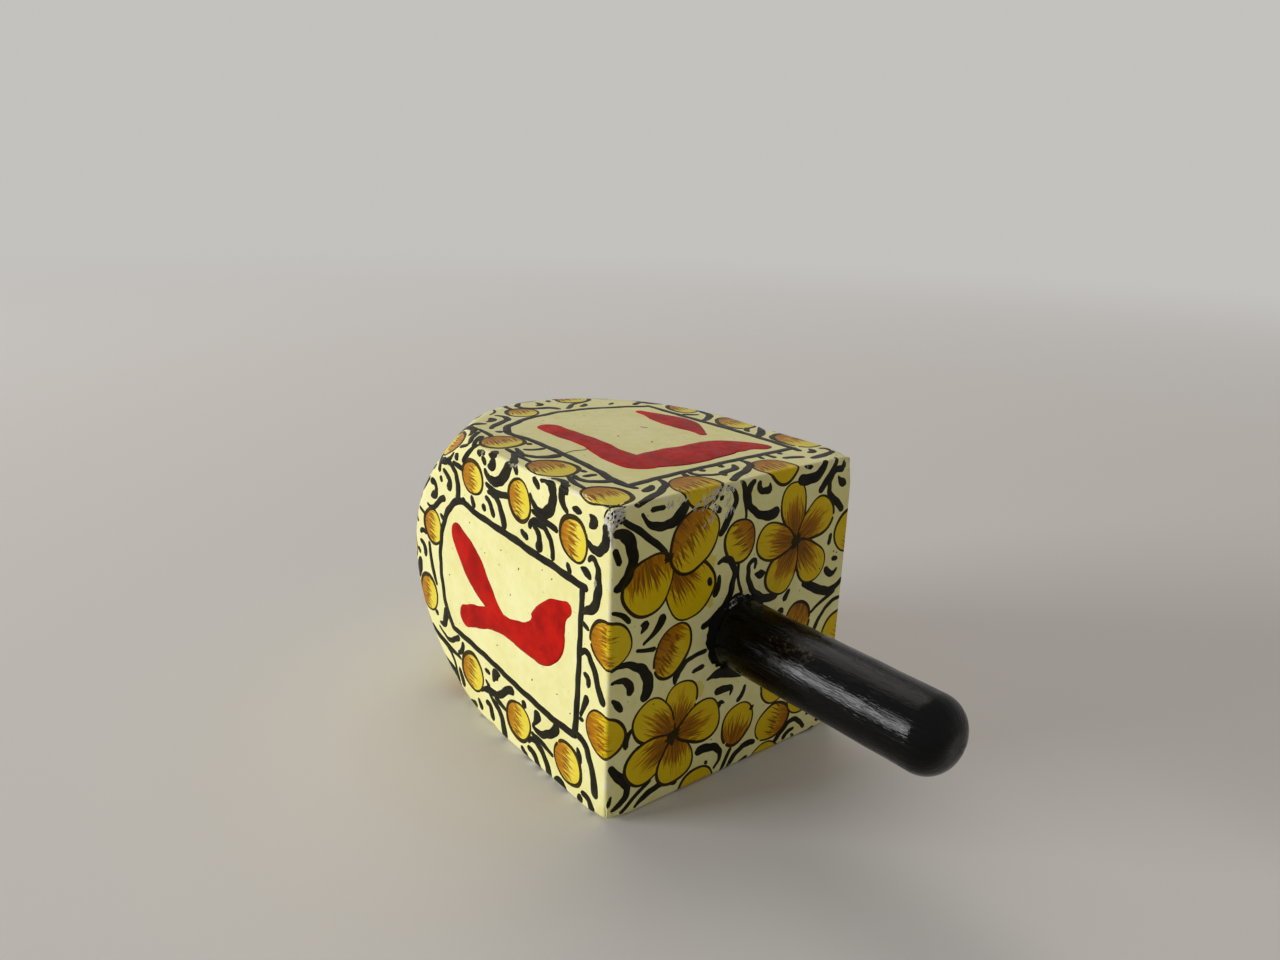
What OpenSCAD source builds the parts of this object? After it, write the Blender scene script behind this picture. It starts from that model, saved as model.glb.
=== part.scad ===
// Spinning top with four flat sides, a turned point and a round stem.
// A square wooden block is turned at one end to a blunt point. The tenon of a round stem is
// glued into a blind hole in its flat end. The stem's shoulder seats on that end, and glue fills
// the bevel round the shoulder and stands in the corner as a bead.
// Each piece is drawn about the spin axis, with the stem face at zero and the stem upward,
// and the whole top is then laid on one flat side. The spin axis lies along X, with the stem
// at +X, and the origin is on the floor under the middle of the top.

/* [Block] */
// Width across two flat sides
block_w = 50; // [36:1:64]
// Length of the corner edges, from the stem face to where the turned end cuts them
edge_len = 34.5; // [25:0.5:60]
// Length of the turned end, from the last of the corner edges to the spinning point
point_len = 44; // [36:0.5:60]
// Radius of the curve that the turned end is cut to
turn_r = 51; // [46:1:90]
// Radius of the spinning point
tip_r = 2; // [0.5:0.1:4]
// Radius that softens the edges of the block
edge_r = 0.7; // [0.3:0.1:2.5]

/* [Stem] */
// Diameter of the stem
stem_d = 11.4; // [8:0.1:18]
// Length of the stem that stands out of the block
stem_len = 40; // [20:0.5:70]
// Rounding of the stem's free end
stem_end_r = 4.4; // [0.5:0.1:5.2]
// Bevel round the stem's foot, which the glue bead fills
foot_bevel = 1; // [0.4:0.1:1.5]

/* [Joint] */
// Width of the flat shoulder that seats on the stem face, from the bevel in to the tenon
shoulder_w = 0.7; // [0.3:0.1:1.2]
// Depth of the hole that the tenon is glued into
seat_depth = 20; // [10:0.5:30]
// Bevel on the tenon's buried end
tenon_bevel = 1; // [0.2:0.1:1.2]
// Thickness of the glue between the stem and the block
glue_film = 0.15; // [0.05:0.01:0.4]

/* [Hidden] */
$fn = 96;

// How far a cutting shape runs past the face that it cuts
overrun = 5;

// The block and its stem, end to end
body_len = edge_len + point_len;
stem_face_x = (body_len - stem_len) / 2;

// The stem, its tenon and the hole
stem_r = stem_d / 2;
end_r = min(stem_end_r, stem_r);
tenon_r = stem_r - foot_bevel - shoulder_w;
tenon_end = glue_film - seat_depth;
bore_r = tenon_r + glue_film;

// The glue bead is as high as the bevel that it fills
bead_r = glue_film + foot_bevel;

// Distance from the spin axis to the crest of a softened corner edge
corner_r = (block_w / 2 - edge_r) * sqrt(2) + edge_r;

// The turned end's curve starts on the corner edges and runs smoothly into the ball of the
// spinning point. Points are [distance from the axis, height].
curve_start = [corner_r, -edge_len];
ball_centre = [0, tip_r - body_len];
curve_centre = circle_meeting(curve_start, turn_r, ball_centre, turn_r - tip_r);
curve_end = curve_centre + (ball_centre - curve_centre) * turn_r / (turn_r - tip_r);

// Where circles of radius ra round point a and rb round point b meet, on the right going from a to b
function circle_meeting(a, ra, b, rb) =
    let (
        along = (b - a) / norm(b - a),
        across = [-along.y, along.x],
        reach = (ra * ra - rb * rb + norm(b - a) ^ 2) / (2 * norm(b - a)),
        rise = sqrt(ra * ra - reach * reach)
    )
    a - across * rise + along * reach;

// A rectangle whose upper corners are round, standing on the height low
module arched_plate(width, low, radius) {
    translate([-width / 2, low]) square([width, -low - radius]);
    translate([radius - width / 2, -radius]) square([width - 2 * radius, radius]);
    for (side = [-1, 1])
        translate([side * (width / 2 - radius), -radius]) circle(radius);
}

// A square with round corners, on its centre
module soft_square(width, radius) {
    inner = width - 2 * radius;
    square([width, inner], center = true);
    square([inner, width], center = true);
    for (x = [-1, 1], y = [-1, 1])
        translate([x * inner / 2, y * inner / 2]) circle(radius);
}

// Half section of what the lathe leaves: full width beside the corner edges, then the curve
// that comes in to the spinning point. The full width ends where the curve is widest, clear of
// the corner edges.
module turned_section() {
    straight_r = corner_r + overrun;
    curve_top = max(curve_centre.y, -edge_len);
    translate([0, curve_top]) square([straight_r, overrun - curve_top]);
    intersection() {
        translate(curve_centre) circle(turn_r);
        translate([0, curve_end.y]) square([straight_r, curve_top + overrun - curve_end.y]);
    }
    intersection() {
        translate(ball_centre) circle(tip_r);
        translate([0, -body_len]) square([tip_r, 2 * tip_r]);
    }
}

// The square bar with all its long edges and stem face edges softened
module soft_bar() {
    intersection() {
        translate([0, 0, -body_len]) linear_extrude(body_len) soft_square(block_w, edge_r);
        for (turn = [0, 90])
            rotate([90, 0, turn])
                linear_extrude(block_w, center = true) arched_plate(block_w, -body_len, edge_r);
    }
}

// Half section of the stem, from its bevelled buried end past the shoulder to its round free end
module stem_section() {
    round_start = stem_len - end_r;
    polygon([
        [0, tenon_end],
        [tenon_r - tenon_bevel, tenon_end],
        [tenon_r, tenon_end + tenon_bevel],
        [tenon_r, glue_film],
        [stem_r - foot_bevel, glue_film],
        [stem_r, bead_r],
        [stem_r, round_start],
        [0, round_start]
    ]);
    translate([0, round_start]) square([stem_r - end_r, end_r]);
    translate([stem_r - end_r, round_start]) intersection() {
        circle(end_r);
        square(end_r);
    }
}

// Half section of the glue: it fills what the tenon leaves of the hole, lies under the shoulder
// and stands in the corner round the stem's foot as a quarter round bead
module glue_section() {
    difference() {
        union() {
            translate([0, -seat_depth]) square([bore_r, seat_depth]);
            square([stem_r, bead_r]);
            intersection() {
                translate([stem_r, 0]) circle(bead_r);
                square([stem_r + bead_r, bead_r]);
            }
        }
        stem_section();
    }
}

// Lays a piece that is drawn about the upright spin axis on one flat side of the block
module lay_on_side() {
    translate([stem_face_x, 0, block_w / 2]) rotate([0, 90, 0]) children();
}

module body_block() {
    color("#efe6bd") lay_on_side() difference() {
        intersection() {
            soft_bar();
            rotate_extrude() turned_section();
        }
        translate([0, 0, -seat_depth]) cylinder(h = seat_depth + overrun, r = bore_r);
    }
}

module stem() {
    color("#17181a") lay_on_side() rotate_extrude() stem_section();
}

module glue_bond() {
    color("#1d1b19") lay_on_side() rotate_extrude() glue_section();
}

body_block();
stem();
glue_bond();
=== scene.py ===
"""Looks of a painted wooden spinning top that lies on one of its four flat sides.

Sizes are in millimetres, in the block's own frame: a is the distance from the stem face towards the
spinning point, y runs across and z is the height above the spin axis. Meshes are made in metres.
"""

import logging
import math
from dataclasses import dataclass, replace
from enum import Enum

import bpy
import numpy as np
from mathutils import Matrix, Vector


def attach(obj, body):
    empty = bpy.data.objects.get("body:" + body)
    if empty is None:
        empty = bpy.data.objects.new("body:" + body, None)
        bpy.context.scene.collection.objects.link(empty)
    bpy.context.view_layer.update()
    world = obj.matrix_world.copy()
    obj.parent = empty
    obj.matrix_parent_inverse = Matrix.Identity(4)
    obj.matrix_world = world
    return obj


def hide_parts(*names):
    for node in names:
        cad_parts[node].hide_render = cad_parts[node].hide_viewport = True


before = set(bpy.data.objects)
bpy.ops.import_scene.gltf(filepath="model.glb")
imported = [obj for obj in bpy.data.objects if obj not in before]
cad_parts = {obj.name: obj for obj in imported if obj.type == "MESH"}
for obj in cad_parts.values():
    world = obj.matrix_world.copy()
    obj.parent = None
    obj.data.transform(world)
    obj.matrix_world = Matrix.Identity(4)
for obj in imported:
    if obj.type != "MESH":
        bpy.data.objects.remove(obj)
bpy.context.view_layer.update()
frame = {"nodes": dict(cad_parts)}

log = logging.getLogger("spinning_top")
MM = 0.001
TINY = 1e-9
FULL_TURN = 2 * math.pi
ANY_PHASE = 6.28
BODY = "root"

Colour = tuple[float, float, float, float]
Spot = tuple[float, float]
Stroke = list[tuple[float, float, float]]
Socket = bpy.types.NodeSocket


def linear(red: float, green: float, blue: float) -> Colour:
    """Turn a colour written as 0 to 255 into the linear colour that shaders take.

    Args:
        red: Red, 0 to 255.
        green: Green, 0 to 255.
        blue: Blue, 0 to 255.

    Returns:
        The colour as linear red, green, blue and an alpha of one.
    """
    parts = []
    for part in (red, green, blue):
        share = part / 255
        parts.append(share / 12.92 if share <= 0.04045 else ((share + 0.055) / 1.055) ** 2.4)
    return (parts[0], parts[1], parts[2], 1.0)


def smoothstep(low: float, high: float, value: np.ndarray) -> np.ndarray:
    """Rise smoothly from 0 where the value is low to 1 where it is high."""
    share = np.clip((value - low) / (high - low), 0, 1)
    return share * share * (3 - 2 * share)


def hump(value: np.ndarray, middle: float, reach: float) -> np.ndarray:
    """Fall off smoothly from 1 at the middle to about a third at the reach on both sides."""
    return np.exp(-(((value - middle) / reach) ** 2))


def unit(rows: np.ndarray) -> np.ndarray:
    """Scale each row to a length of one."""
    return rows / np.maximum(np.linalg.norm(rows, axis=1), TINY)[:, None]


def turned(spots: np.ndarray, degrees: float) -> np.ndarray:
    """Turn the spots of a drawing anticlockwise.

    Args:
        spots: Spots, one row each.
        degrees: Angle of the turn.

    Returns:
        The turned spots.
    """
    angle = math.radians(degrees)
    cos, sin = math.cos(angle), math.sin(angle)
    return spots @ np.array([[cos, sin], [-sin, cos]])


def round_angles(count: int) -> np.ndarray:
    """Space angles evenly round a full turn, in radians."""
    return np.linspace(0, FULL_TURN, count, endpoint=False)


def smooth_path(points: np.ndarray, step: float) -> np.ndarray:
    """Run a smooth curve through given points.

    Args:
        points: Points, one row each. The first two columns are the place, others follow along.
        step: Distance between the samples.

    Returns:
        The samples, one row each, with the columns of points.
    """
    gaps = np.maximum(np.linalg.norm(np.diff(points[:, :2], axis=0), axis=1), TINY)
    knots = np.concatenate([[0], np.cumsum(gaps)])
    slopes = np.gradient(points, knots, axis=0)
    times = np.linspace(0, knots[-1], max(int(knots[-1] / step), 4))
    at = np.clip(np.searchsorted(knots, times, side="right") - 1, 0, len(knots) - 2)
    span = (knots[at + 1] - knots[at])[:, None]
    share = (times - knots[at])[:, None] / span
    start = points[at] + slopes[at] * span * share
    ahead = points[at + 1] - slopes[at + 1] * span * (1 - share)
    weight = smoothstep(0, 1, share)
    return start * (1 - weight) + ahead * weight


class Face(Enum):
    """The painted faces. A flat side holds its outward and its across direction in (y, z)."""

    STEM = "stem face"
    POINT = "turned point"
    LEFT = ((-1, 0), (0, 1))
    UPPER = ((0, 1), (1, 0))
    BACK = ((1, 0), (0, -1))
    UNDER = ((0, -1), (-1, 0))


@dataclass(frozen=True)
class Dent:
    """A shallow knock in the block's surface."""

    a: float
    y: float
    z: float
    reach: float
    depth: float


@dataclass(frozen=True)
class BlockForm:
    """The block's surface: a softened square bar that a turned curve brings in to a point.

    Attributes:
        stem_face: Place of the stem face along the shared frame's X axis.
        axis_height: Height of the spin axis above the floor.
        half: Half the width across two flat sides.
        edge_r: Radius that softens the edges.
        edge_len: Length of the corner edges.
        length: Length of the block.
        turn_r: Radius of the turned curve.
        turn_out: Distance of the curve's centre from the spin axis.
        turn_at: Distance of the curve's centre from the stem face.
        tip_r: Radius of the spinning point.
        tip_join: Distance from the stem face where the curve runs into the spinning point.
        flare: Slope that takes the curve clear of the bar beside the corner edges.
        crease: Width over which the curve and the flat sides run together.
        sink: Depth of the dressed surface under the solid.
        sway: Depth of the waves that hand work leaves.
        edge_near: Distance from an edge within which it is fully worn.
        edge_far: Distance from an edge where the wear ends.
        wear_full: Distance from the stem face up to which edges wear fully.
        wear_end: Distance from the stem face where the wear of edges ends.
        dents: The knocks.
    """

    stem_face: float = 19.25
    axis_height: float = 25.0
    half: float = 25.0
    edge_r: float = 0.7
    edge_len: float = 34.5
    length: float = 78.5
    turn_r: float = 51.0
    turn_out: float = -15.744
    turn_at: float = 30.098
    tip_r: float = 2.0
    tip_join: float = 78.394
    flare: float = 0.35
    crease: float = 0.8
    sink: float = 0.05
    sway: float = 0.06
    edge_near: float = 0.4
    edge_far: float = 2.4
    wear_full: float = 36.0
    wear_end: float = 42.0
    dents: tuple[Dent, ...] = (
        Dent(0, -25, 25, 2.0, 0.75),
        Dent(0.6, -23.2, 24.6, 1.3, 0.35),
        Dent(0, -6, 24, 2.6, 0.12),
        Dent(4.2, -25, 12.4, 1.0, 0.06),
        Dent(0, 25, 25, 3.0, 0.8),
        Dent(0, -25, -25, 2.6, 0.8),
        Dent(0, 25, -25, 1.6, 0.5),
        Dent(20, 25, 25, 1.4, 0.25),
        Dent(33, -25, -25, 1.5, 0.3),
    )

    def turned_radius(self, a: np.ndarray) -> np.ndarray:
        """Distance of the turned curve from the spin axis.

        Args:
            a: Distances from the stem face.

        Returns:
            The curve's radius at each distance. Beside the corner edges it is outside the bar.
        """
        reach = np.maximum(a, self.edge_len)
        rise = np.sqrt(np.maximum(self.turn_r**2 - (reach - self.turn_at) ** 2, 0))
        curve = np.maximum(self.turn_out + rise, 0)
        ball_at = self.length - self.tip_r
        ball = np.sqrt(np.maximum(self.tip_r**2 - (a - ball_at) ** 2, 0))
        beside = self.flare * np.maximum(self.edge_len - a, 0)
        return np.where(a > self.tip_join, ball, curve + beside)

    def along_curve(self, reach: np.ndarray) -> np.ndarray:
        """Distance from the stem face of a spot on the turned curve.

        Args:
            reach: Lengths along the surface from the spinning point.

        Returns:
            The distance from the stem face at each length.
        """
        join = math.asin((self.tip_join - self.turn_at) / self.turn_r)
        cap = self.tip_r * (math.pi / 2 - join)
        angle = join - (reach - cap) / self.turn_r
        on_ball = self.length - self.tip_r * (1 - np.cos(reach / self.tip_r))
        return np.where(reach < cap, on_ball, self.turn_at + self.turn_r * np.sin(angle))

    def sharp(self, face: Face, spots: np.ndarray) -> np.ndarray:
        """Place spots of a face's flat drawing on the sharp bar.

        The stem face is drawn in (y, z). A flat side is drawn in (-a, across). The turned point is
        drawn round the spinning point in (y, -z), by length along the surface. A drawing that runs
        over an edge folds round it.

        Args:
            face: The face that the drawing is on.
            spots: Spots of the drawing, one row each.

        Returns:
            The points on the sharp bar as (a, y, z).
        """
        if face is Face.STEM:
            over = np.maximum(np.abs(spots) - self.half, 0).sum(1)
            return np.column_stack([over, np.clip(spots, -self.half, self.half)])
        if face is Face.POINT:
            reach = np.hypot(spots[:, 0], spots[:, 1])
            way = spots * (1, -1) / np.maximum(reach, TINY)[:, None]
            way[reach < TINY] = (1, 0)
            square = way * self.half / np.abs(way).max(1)[:, None]
            return np.column_stack([self.along_curve(reach), square])
        out, across = (np.array(way, float) for way in face.value)
        side = np.clip(spots[:, 1], -self.half, self.half)
        fold = np.abs(spots[:, 1] - side)
        depth = self.half - fold - np.maximum(spots[:, 0], 0)
        flat = depth[:, None] * out + side[:, None] * across
        return np.column_stack([np.maximum(-spots[:, 0], 0), flat])

    def worked_away(self, spot: np.ndarray, normal: np.ndarray) -> np.ndarray:
        """Tell how far hand work and knocks take the surface below the solid.

        Args:
            spot: Points as (a, y, z).
            normal: Outward direction at each point.

        Returns:
            The depth at each point. Knocks on an edge or a corner go deeper.
        """
        a, y, z = spot.T
        wave = np.sin(0.21 * a + 0.17 * y + 1.3) * np.sin(0.19 * z - 0.13 * a + 0.15 * y + 0.4)
        rough = 0.8 + 0.2 * np.sin(3.1 * y + 2.3 * z) * np.sin(2.7 * a + 1.9 * z)
        edgewise = np.abs(normal).sum(1)
        depth = self.sink + self.sway * (0.5 - 0.5 * wave)
        for dent in self.dents:
            away = np.linalg.norm(spot - (dent.a, dent.y, dent.z), axis=1)
            depth = depth + dent.depth * edgewise * rough * hump(away, 0, dent.reach)
        return depth

    def place(self, sharp: np.ndarray, lift: np.ndarray | float = 0.0) -> np.ndarray:
        """Bring points of the sharp bar to the real, hand-worked surface.

        Args:
            sharp: Points on the sharp bar as (a, y, z).
            lift: Height above the surface at each point.

        Returns:
            The points in the shared frame, in metres.
        """
        limit = self.half - self.edge_r
        deep = np.maximum(sharp[:, 0], self.edge_r)
        inner = np.column_stack([deep, np.clip(sharp[:, 1:], -limit, limit)])
        normal = unit(sharp - inner)
        spot = inner + normal * self.edge_r
        a = spot[:, 0]
        radius = np.maximum(np.hypot(spot[:, 1], spot[:, 2]), TINY)
        spoke = spot[:, 1:] / radius[:, None]
        curve = self.turned_radius(a)
        bar = np.clip(0.5 + 0.5 * (curve - radius) / self.crease, 0, 1)
        softened = curve * (1 - bar) + radius * bar - self.crease * bar * (1 - bar)
        spot = np.column_stack([a, spoke * softened[:, None]])
        on_ball = (a - self.length + self.tip_r) / self.tip_r
        on_curve = (a - self.turn_at) / self.turn_r
        ahead = np.where(a > self.tip_join, on_ball, on_curve)
        out = np.sqrt(np.maximum(1 - ahead**2, 0))
        curved = np.column_stack([ahead, spoke * out[:, None]])
        normal = unit(normal * bar[:, None] + curved * (1 - bar)[:, None])
        height = np.asarray(lift) - self.worked_away(spot, normal)
        return self.world(spot + normal * height[:, None])

    def edge_mark(self, points: np.ndarray) -> np.ndarray:
        """Mark how near each point is to a softened edge.

        Args:
            points: Points in the shared frame, in metres.

        Returns:
            One on an edge, falling to zero a few millimetres away.
        """
        a = self.stem_face - points[:, 0] / MM
        y = np.abs(points[:, 1] / MM)
        z = np.abs(points[:, 2] / MM - self.axis_height)
        gaps = np.sort(np.column_stack([a, self.half - y, self.half - z]), axis=1)
        near = smoothstep(self.edge_far, self.edge_near, np.hypot(gaps[:, 0], gaps[:, 1]))
        return near * smoothstep(self.wear_end, self.wear_full, a)

    def world(self, spot: np.ndarray) -> np.ndarray:
        """Turn points (a, y, z) of the block's frame into the shared frame, in metres."""
        along = self.stem_face - spot[:, 0]
        return np.column_stack([along, spot[:, 1], spot[:, 2] + self.axis_height]) * MM


class Graph:
    """Short ways to place and wire shader nodes in one tree."""

    def __init__(self, tree: bpy.types.NodeTree) -> None:
        """Work on the given tree."""
        self.tree = tree

    def node(self, kind: str, **settings: object) -> bpy.types.Node:
        """Place a node.

        Args:
            kind: Node type without its ShaderNode prefix.
            **settings: Values for the node's own options.

        Returns:
            The new node.
        """
        made = self.tree.nodes.new("ShaderNode" + kind)
        for name, value in settings.items():
            setattr(made, name, value)
        return made

    def put(self, socket: Socket, value: object) -> None:
        """Link an output to a socket, or set the socket's own value.

        Args:
            socket: Input to fill.
            value: Output socket or plain value.
        """
        if isinstance(value, bpy.types.NodeSocket):
            self.tree.links.new(value, socket)
        else:
            socket.default_value = value

    def fill(self, node: bpy.types.Node, values: dict[str | int, object]) -> bpy.types.Node:
        """Fill several inputs of a node.

        Args:
            node: The node.
            values: Output sockets or plain values by the input's name or number.

        Returns:
            The node.
        """
        for name, value in values.items():
            self.put(node.inputs[name], value)
        return node

    def math(self, operation: str, first: object, second: object) -> Socket:
        """Add a Math node and give its result."""
        made = self.node("Math", operation=operation)
        return self.fill(made, {0: first, 1: second}).outputs[0]

    def weigh(self, first: Socket, first_share: float, second: Socket, second_share: float) -> Socket:
        """Add two values, each times its share.

        Args:
            first: First value.
            first_share: What the first value is multiplied by.
            second: Second value.
            second_share: What the second value is multiplied by.

        Returns:
            The sum's socket.
        """
        one = self.math("MULTIPLY", first, first_share)
        other = self.math("MULTIPLY", second, second_share)
        return self.math("ADD", one, other)

    def stretch(self, vector: Socket, scale: tuple[float, float, float]) -> Socket:
        """Scale a coordinate differently along each axis."""
        return self.fill(self.node("Mapping"), {"Vector": vector, "Scale": scale}).outputs[0]

    def noise(self, vector: Socket, scale: object, detail: float, roughness: float) -> Socket:
        """Add a Noise Texture, whose detail is its number of octaves, and give its value."""
        values = {"Vector": vector, "Scale": scale, "Detail": detail, "Roughness": roughness}
        return self.fill(self.node("TexNoise"), values).outputs[0]

    def remap(
        self, value: Socket, low: float, high: float, start: float = 0.0, stop: float = 1.0
    ) -> Socket:
        """Map a value smoothly from one range to another.

        Args:
            value: Value to map.
            low: Value that gives start.
            high: Value that gives stop.
            start: Result at low.
            stop: Result at high.

        Returns:
            The mapped value's socket.
        """
        made = self.node("MapRange", interpolation_type="SMOOTHSTEP")
        ends = {"From Min": low, "From Max": high, "To Min": start, "To Max": stop}
        return self.fill(made, {"Value": value, **ends}).outputs[0]

    def blend(self, share: object, first: object, second: object) -> Socket:
        """Mix two colours by the share of the second one."""
        made = self.node("Mix", data_type="RGBA")
        return self.fill(made, {0: share, 6: first, 7: second}).outputs[2]

    def bump(self, height: Socket, distance: float, strength: float) -> Socket:
        """Turn a height into a normal. A height of one stands for the distance, in metres."""
        values = {"Height": height, "Distance": distance, "Strength": strength}
        return self.fill(self.node("Bump"), values).outputs[0]

    def mark(self, name: str) -> Socket:
        """Read a named value of the mesh's points."""
        return self.node("Attribute", attribute_name=name).outputs["Fac"]

    def effect(self, tree: bpy.types.NodeTree, **values: object) -> dict[str, Socket]:
        """Place a shared node group, fill its inputs and give its outputs by name."""
        made = self.fill(self.node("Group", node_tree=tree), values)
        return {socket.name: socket for socket in made.outputs}

    def seen(self) -> Socket:
        """Tell rays that show the background from rays that only gather light.

        Returns:
            One for a ray from the camera, a mirror or a glass, else zero.
        """
        path = self.node("LightPath").outputs
        direct = self.math("MAXIMUM", path["Is Camera Ray"], path["Is Glossy Ray"])
        return self.math("MAXIMUM", direct, path["Is Transmission Ray"])

    def mix_shaders(self, share: Socket, first: Socket, second: Socket, output: str) -> None:
        """Send two shaders, mixed by the share of the second one, to the named output node."""
        mixed = self.fill(self.node("MixShader"), {0: share, 1: first, 2: second})
        self.put(self.tree.nodes[output].inputs["Surface"], mixed.outputs[0])


class SharedEffect(Enum):
    """Surface effects that more than one finish uses, each built once as a node group."""

    BRUSH_MARKS = "brush_marks"
    VARNISH_AGE = "varnish_age"
    RUBBED_EDGE = "rubbed_edge"

    def tree(self) -> bpy.types.NodeTree:
        """Give the effect's node group, building it on first use.

        Returns:
            The node group.
        """
        found = bpy.data.node_groups.get(self.value)
        if found:
            return found
        made = bpy.data.node_groups.new(self.value, "ShaderNodeTree")
        build = {
            SharedEffect.BRUSH_MARKS: self.brush_marks,
            SharedEffect.VARNISH_AGE: self.varnish_age,
            SharedEffect.RUBBED_EDGE: self.rubbed_edge,
        }
        build[self](made)
        return made

    @staticmethod
    def sockets(
        tree: bpy.types.NodeTree, takes: dict[str, float], gives: tuple[str, ...]
    ) -> tuple[Graph, bpy.types.NodeOutputs, bpy.types.Node]:
        """Give a group its named sockets.

        Args:
            tree: The group's tree.
            takes: Input names with their values.
            gives: Output names.

        Returns:
            A graph on the tree, the values that come in and the group's output node.
        """
        for name, value in takes.items():
            socket = tree.interface.new_socket(name, in_out="INPUT", socket_type="NodeSocketFloat")
            socket.default_value = value
        for name in gives:
            tree.interface.new_socket(name, in_out="OUTPUT", socket_type="NodeSocketFloat")
        come_in = tree.nodes.new("NodeGroupInput").outputs
        return Graph(tree), come_in, tree.nodes.new("NodeGroupOutput")

    @staticmethod
    def brush_marks(tree: bpy.types.NodeTree) -> None:
        """Build streaks that run along a brush stroke, read from the map named grain.

        Args:
            tree: The group's tree.
        """
        graph, takes, gives = SharedEffect.sockets(tree, {"Fineness": 1.0}, ("Streak", "Height"))
        grain = graph.node("UVMap", uv_map="grain").outputs[0]
        long = graph.noise(graph.stretch(grain, (0.32, 3.0, 1.0)), takes["Fineness"], 3.0, 0.6)
        fine = graph.noise(graph.stretch(grain, (1.1, 9.0, 1.0)), takes["Fineness"], 2.0, 0.5)
        streak = graph.remap(long, 0.33, 0.67)
        graph.fill(gives, {"Streak": streak, "Height": graph.weigh(long, 0.6, fine, 0.4)})

    @staticmethod
    def varnish_age(tree: bpy.types.NodeTree) -> None:
        """Build the mottling, specks and dull patches of an old clear varnish.

        Args:
            tree: The group's tree.
        """
        names = ("Mottle", "Speck", "Dull", "Height")
        graph, takes, gives = SharedEffect.sockets(tree, {"Scale": 1.0}, names)
        place = graph.node("TexCoord").outputs["Object"]
        octaves = ((110, 4.0, 0.6), (520, 3.0, 0.6), (2600, 2.0, 0.5), (1250, 1.0, 0.4))
        broad, middle, fine, dots = (
            graph.noise(place, graph.math("MULTIPLY", takes["Scale"], scale), detail, roughness)
            for scale, detail, roughness in octaves
        )
        values = {
            "Mottle": graph.remap(graph.weigh(broad, 0.6, middle, 0.4), 0.32, 0.68),
            "Speck": graph.remap(dots, 0.74, 0.8),
            "Dull": graph.remap(middle, 0.35, 0.75),
            "Height": graph.weigh(middle, 0.7, fine, 0.3),
        }
        graph.fill(gives, values)

    @staticmethod
    def rubbed_edge(tree: bpy.types.NodeTree) -> None:
        """Build the patchy wear of edges, read from the attribute named edge.

        Args:
            tree: The group's tree.
        """
        inputs = {"Scale": 1.0, "Amount": 0.5}
        graph, takes, gives = SharedEffect.sockets(tree, inputs, ("Rub",))
        place = graph.node("TexCoord").outputs["Object"]
        patchy = graph.noise(place, graph.math("MULTIPLY", takes["Scale"], 420), 4.0, 0.65)
        edge = graph.math("MULTIPLY", graph.mark("edge"), takes["Amount"])
        rub = graph.remap(graph.math("ADD", edge, patchy), 0.92, 1.12)
        graph.fill(gives, {"Rub": rub})


class Finish:
    """A surface finish whose material is made once and shared by its pieces."""

    name: str
    roughness: float
    shine: float

    def material(self) -> bpy.types.Material:
        """Give the finish's material, making it on first use.

        Returns:
            The material.
        """
        found = bpy.data.materials.get(self.name)
        if found:
            return found
        made = bpy.data.materials.new(self.name)
        made.use_nodes = True
        self.wire(Graph(made.node_tree), made.node_tree.nodes["Principled BSDF"])
        return made

    def wire(self, graph: Graph, shader: bpy.types.Node) -> None:
        """Wire the material's nodes into its shader."""
        raise NotImplementedError

    def gloss(self, graph: Graph, dull: Socket, less: float = 0.06, more: float = 0.1) -> Socket:
        """Make the finish's roughness patchy: a little less, and a little more where it is dull."""
        return graph.remap(dull, 0, 1, self.roughness - less, self.roughness + more)

    def coat(
        self, graph: Graph, shader: bpy.types.Node, colour: Socket, roughness: Socket, normal: Socket
    ) -> None:
        """Give the shader what changes over the surface, and the finish's even shine.

        Args:
            graph: The material's graph.
            shader: The material's shader.
            colour: Colour of the surface.
            roughness: Roughness of the surface.
            normal: Normal with the relief of the surface.
        """
        values = {"Base Color": colour, "Roughness": roughness, "Normal": normal}
        graph.fill(shader, values)
        shader.inputs["Specular IOR Level"].default_value = self.shine


@dataclass(frozen=True)
class IvoryVarnish(Finish):
    """Cream ground under clear varnish, mottled and specked with age and rubbed along its edges."""

    name: str = "aged_ivory_varnish"
    pale: Colour = linear(246, 243, 182)
    deep: Colour = linear(236, 230, 154)
    speck: Colour = linear(140, 116, 66)
    rubbed: Colour = linear(242, 238, 208)
    roughness: float = 0.34
    shine: float = 0.09
    relief: float = 0.02

    def wire(self, graph: Graph, shader: bpy.types.Node) -> None:
        """Wire the ground's colour, gloss and brush relief.

        Args:
            graph: The material's graph.
            shader: The material's shader.
        """
        age = graph.effect(SharedEffect.VARNISH_AGE.tree(), Scale=1.0)
        edge = graph.effect(SharedEffect.RUBBED_EDGE.tree(), Scale=1.0, Amount=0.46)
        ground = graph.blend(age["Mottle"], self.pale, self.deep)
        ground = graph.blend(graph.math("MULTIPLY", age["Speck"], 0.6), ground, self.speck)
        colour = graph.blend(edge["Rub"], ground, self.rubbed)
        worn = graph.math("MULTIPLY", edge["Rub"], 0.2)
        rough = graph.math("ADD", self.gloss(graph, age["Dull"]), worn)
        self.coat(graph, shader, colour, rough, graph.bump(age["Height"], self.relief * MM, 0.6))


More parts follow.
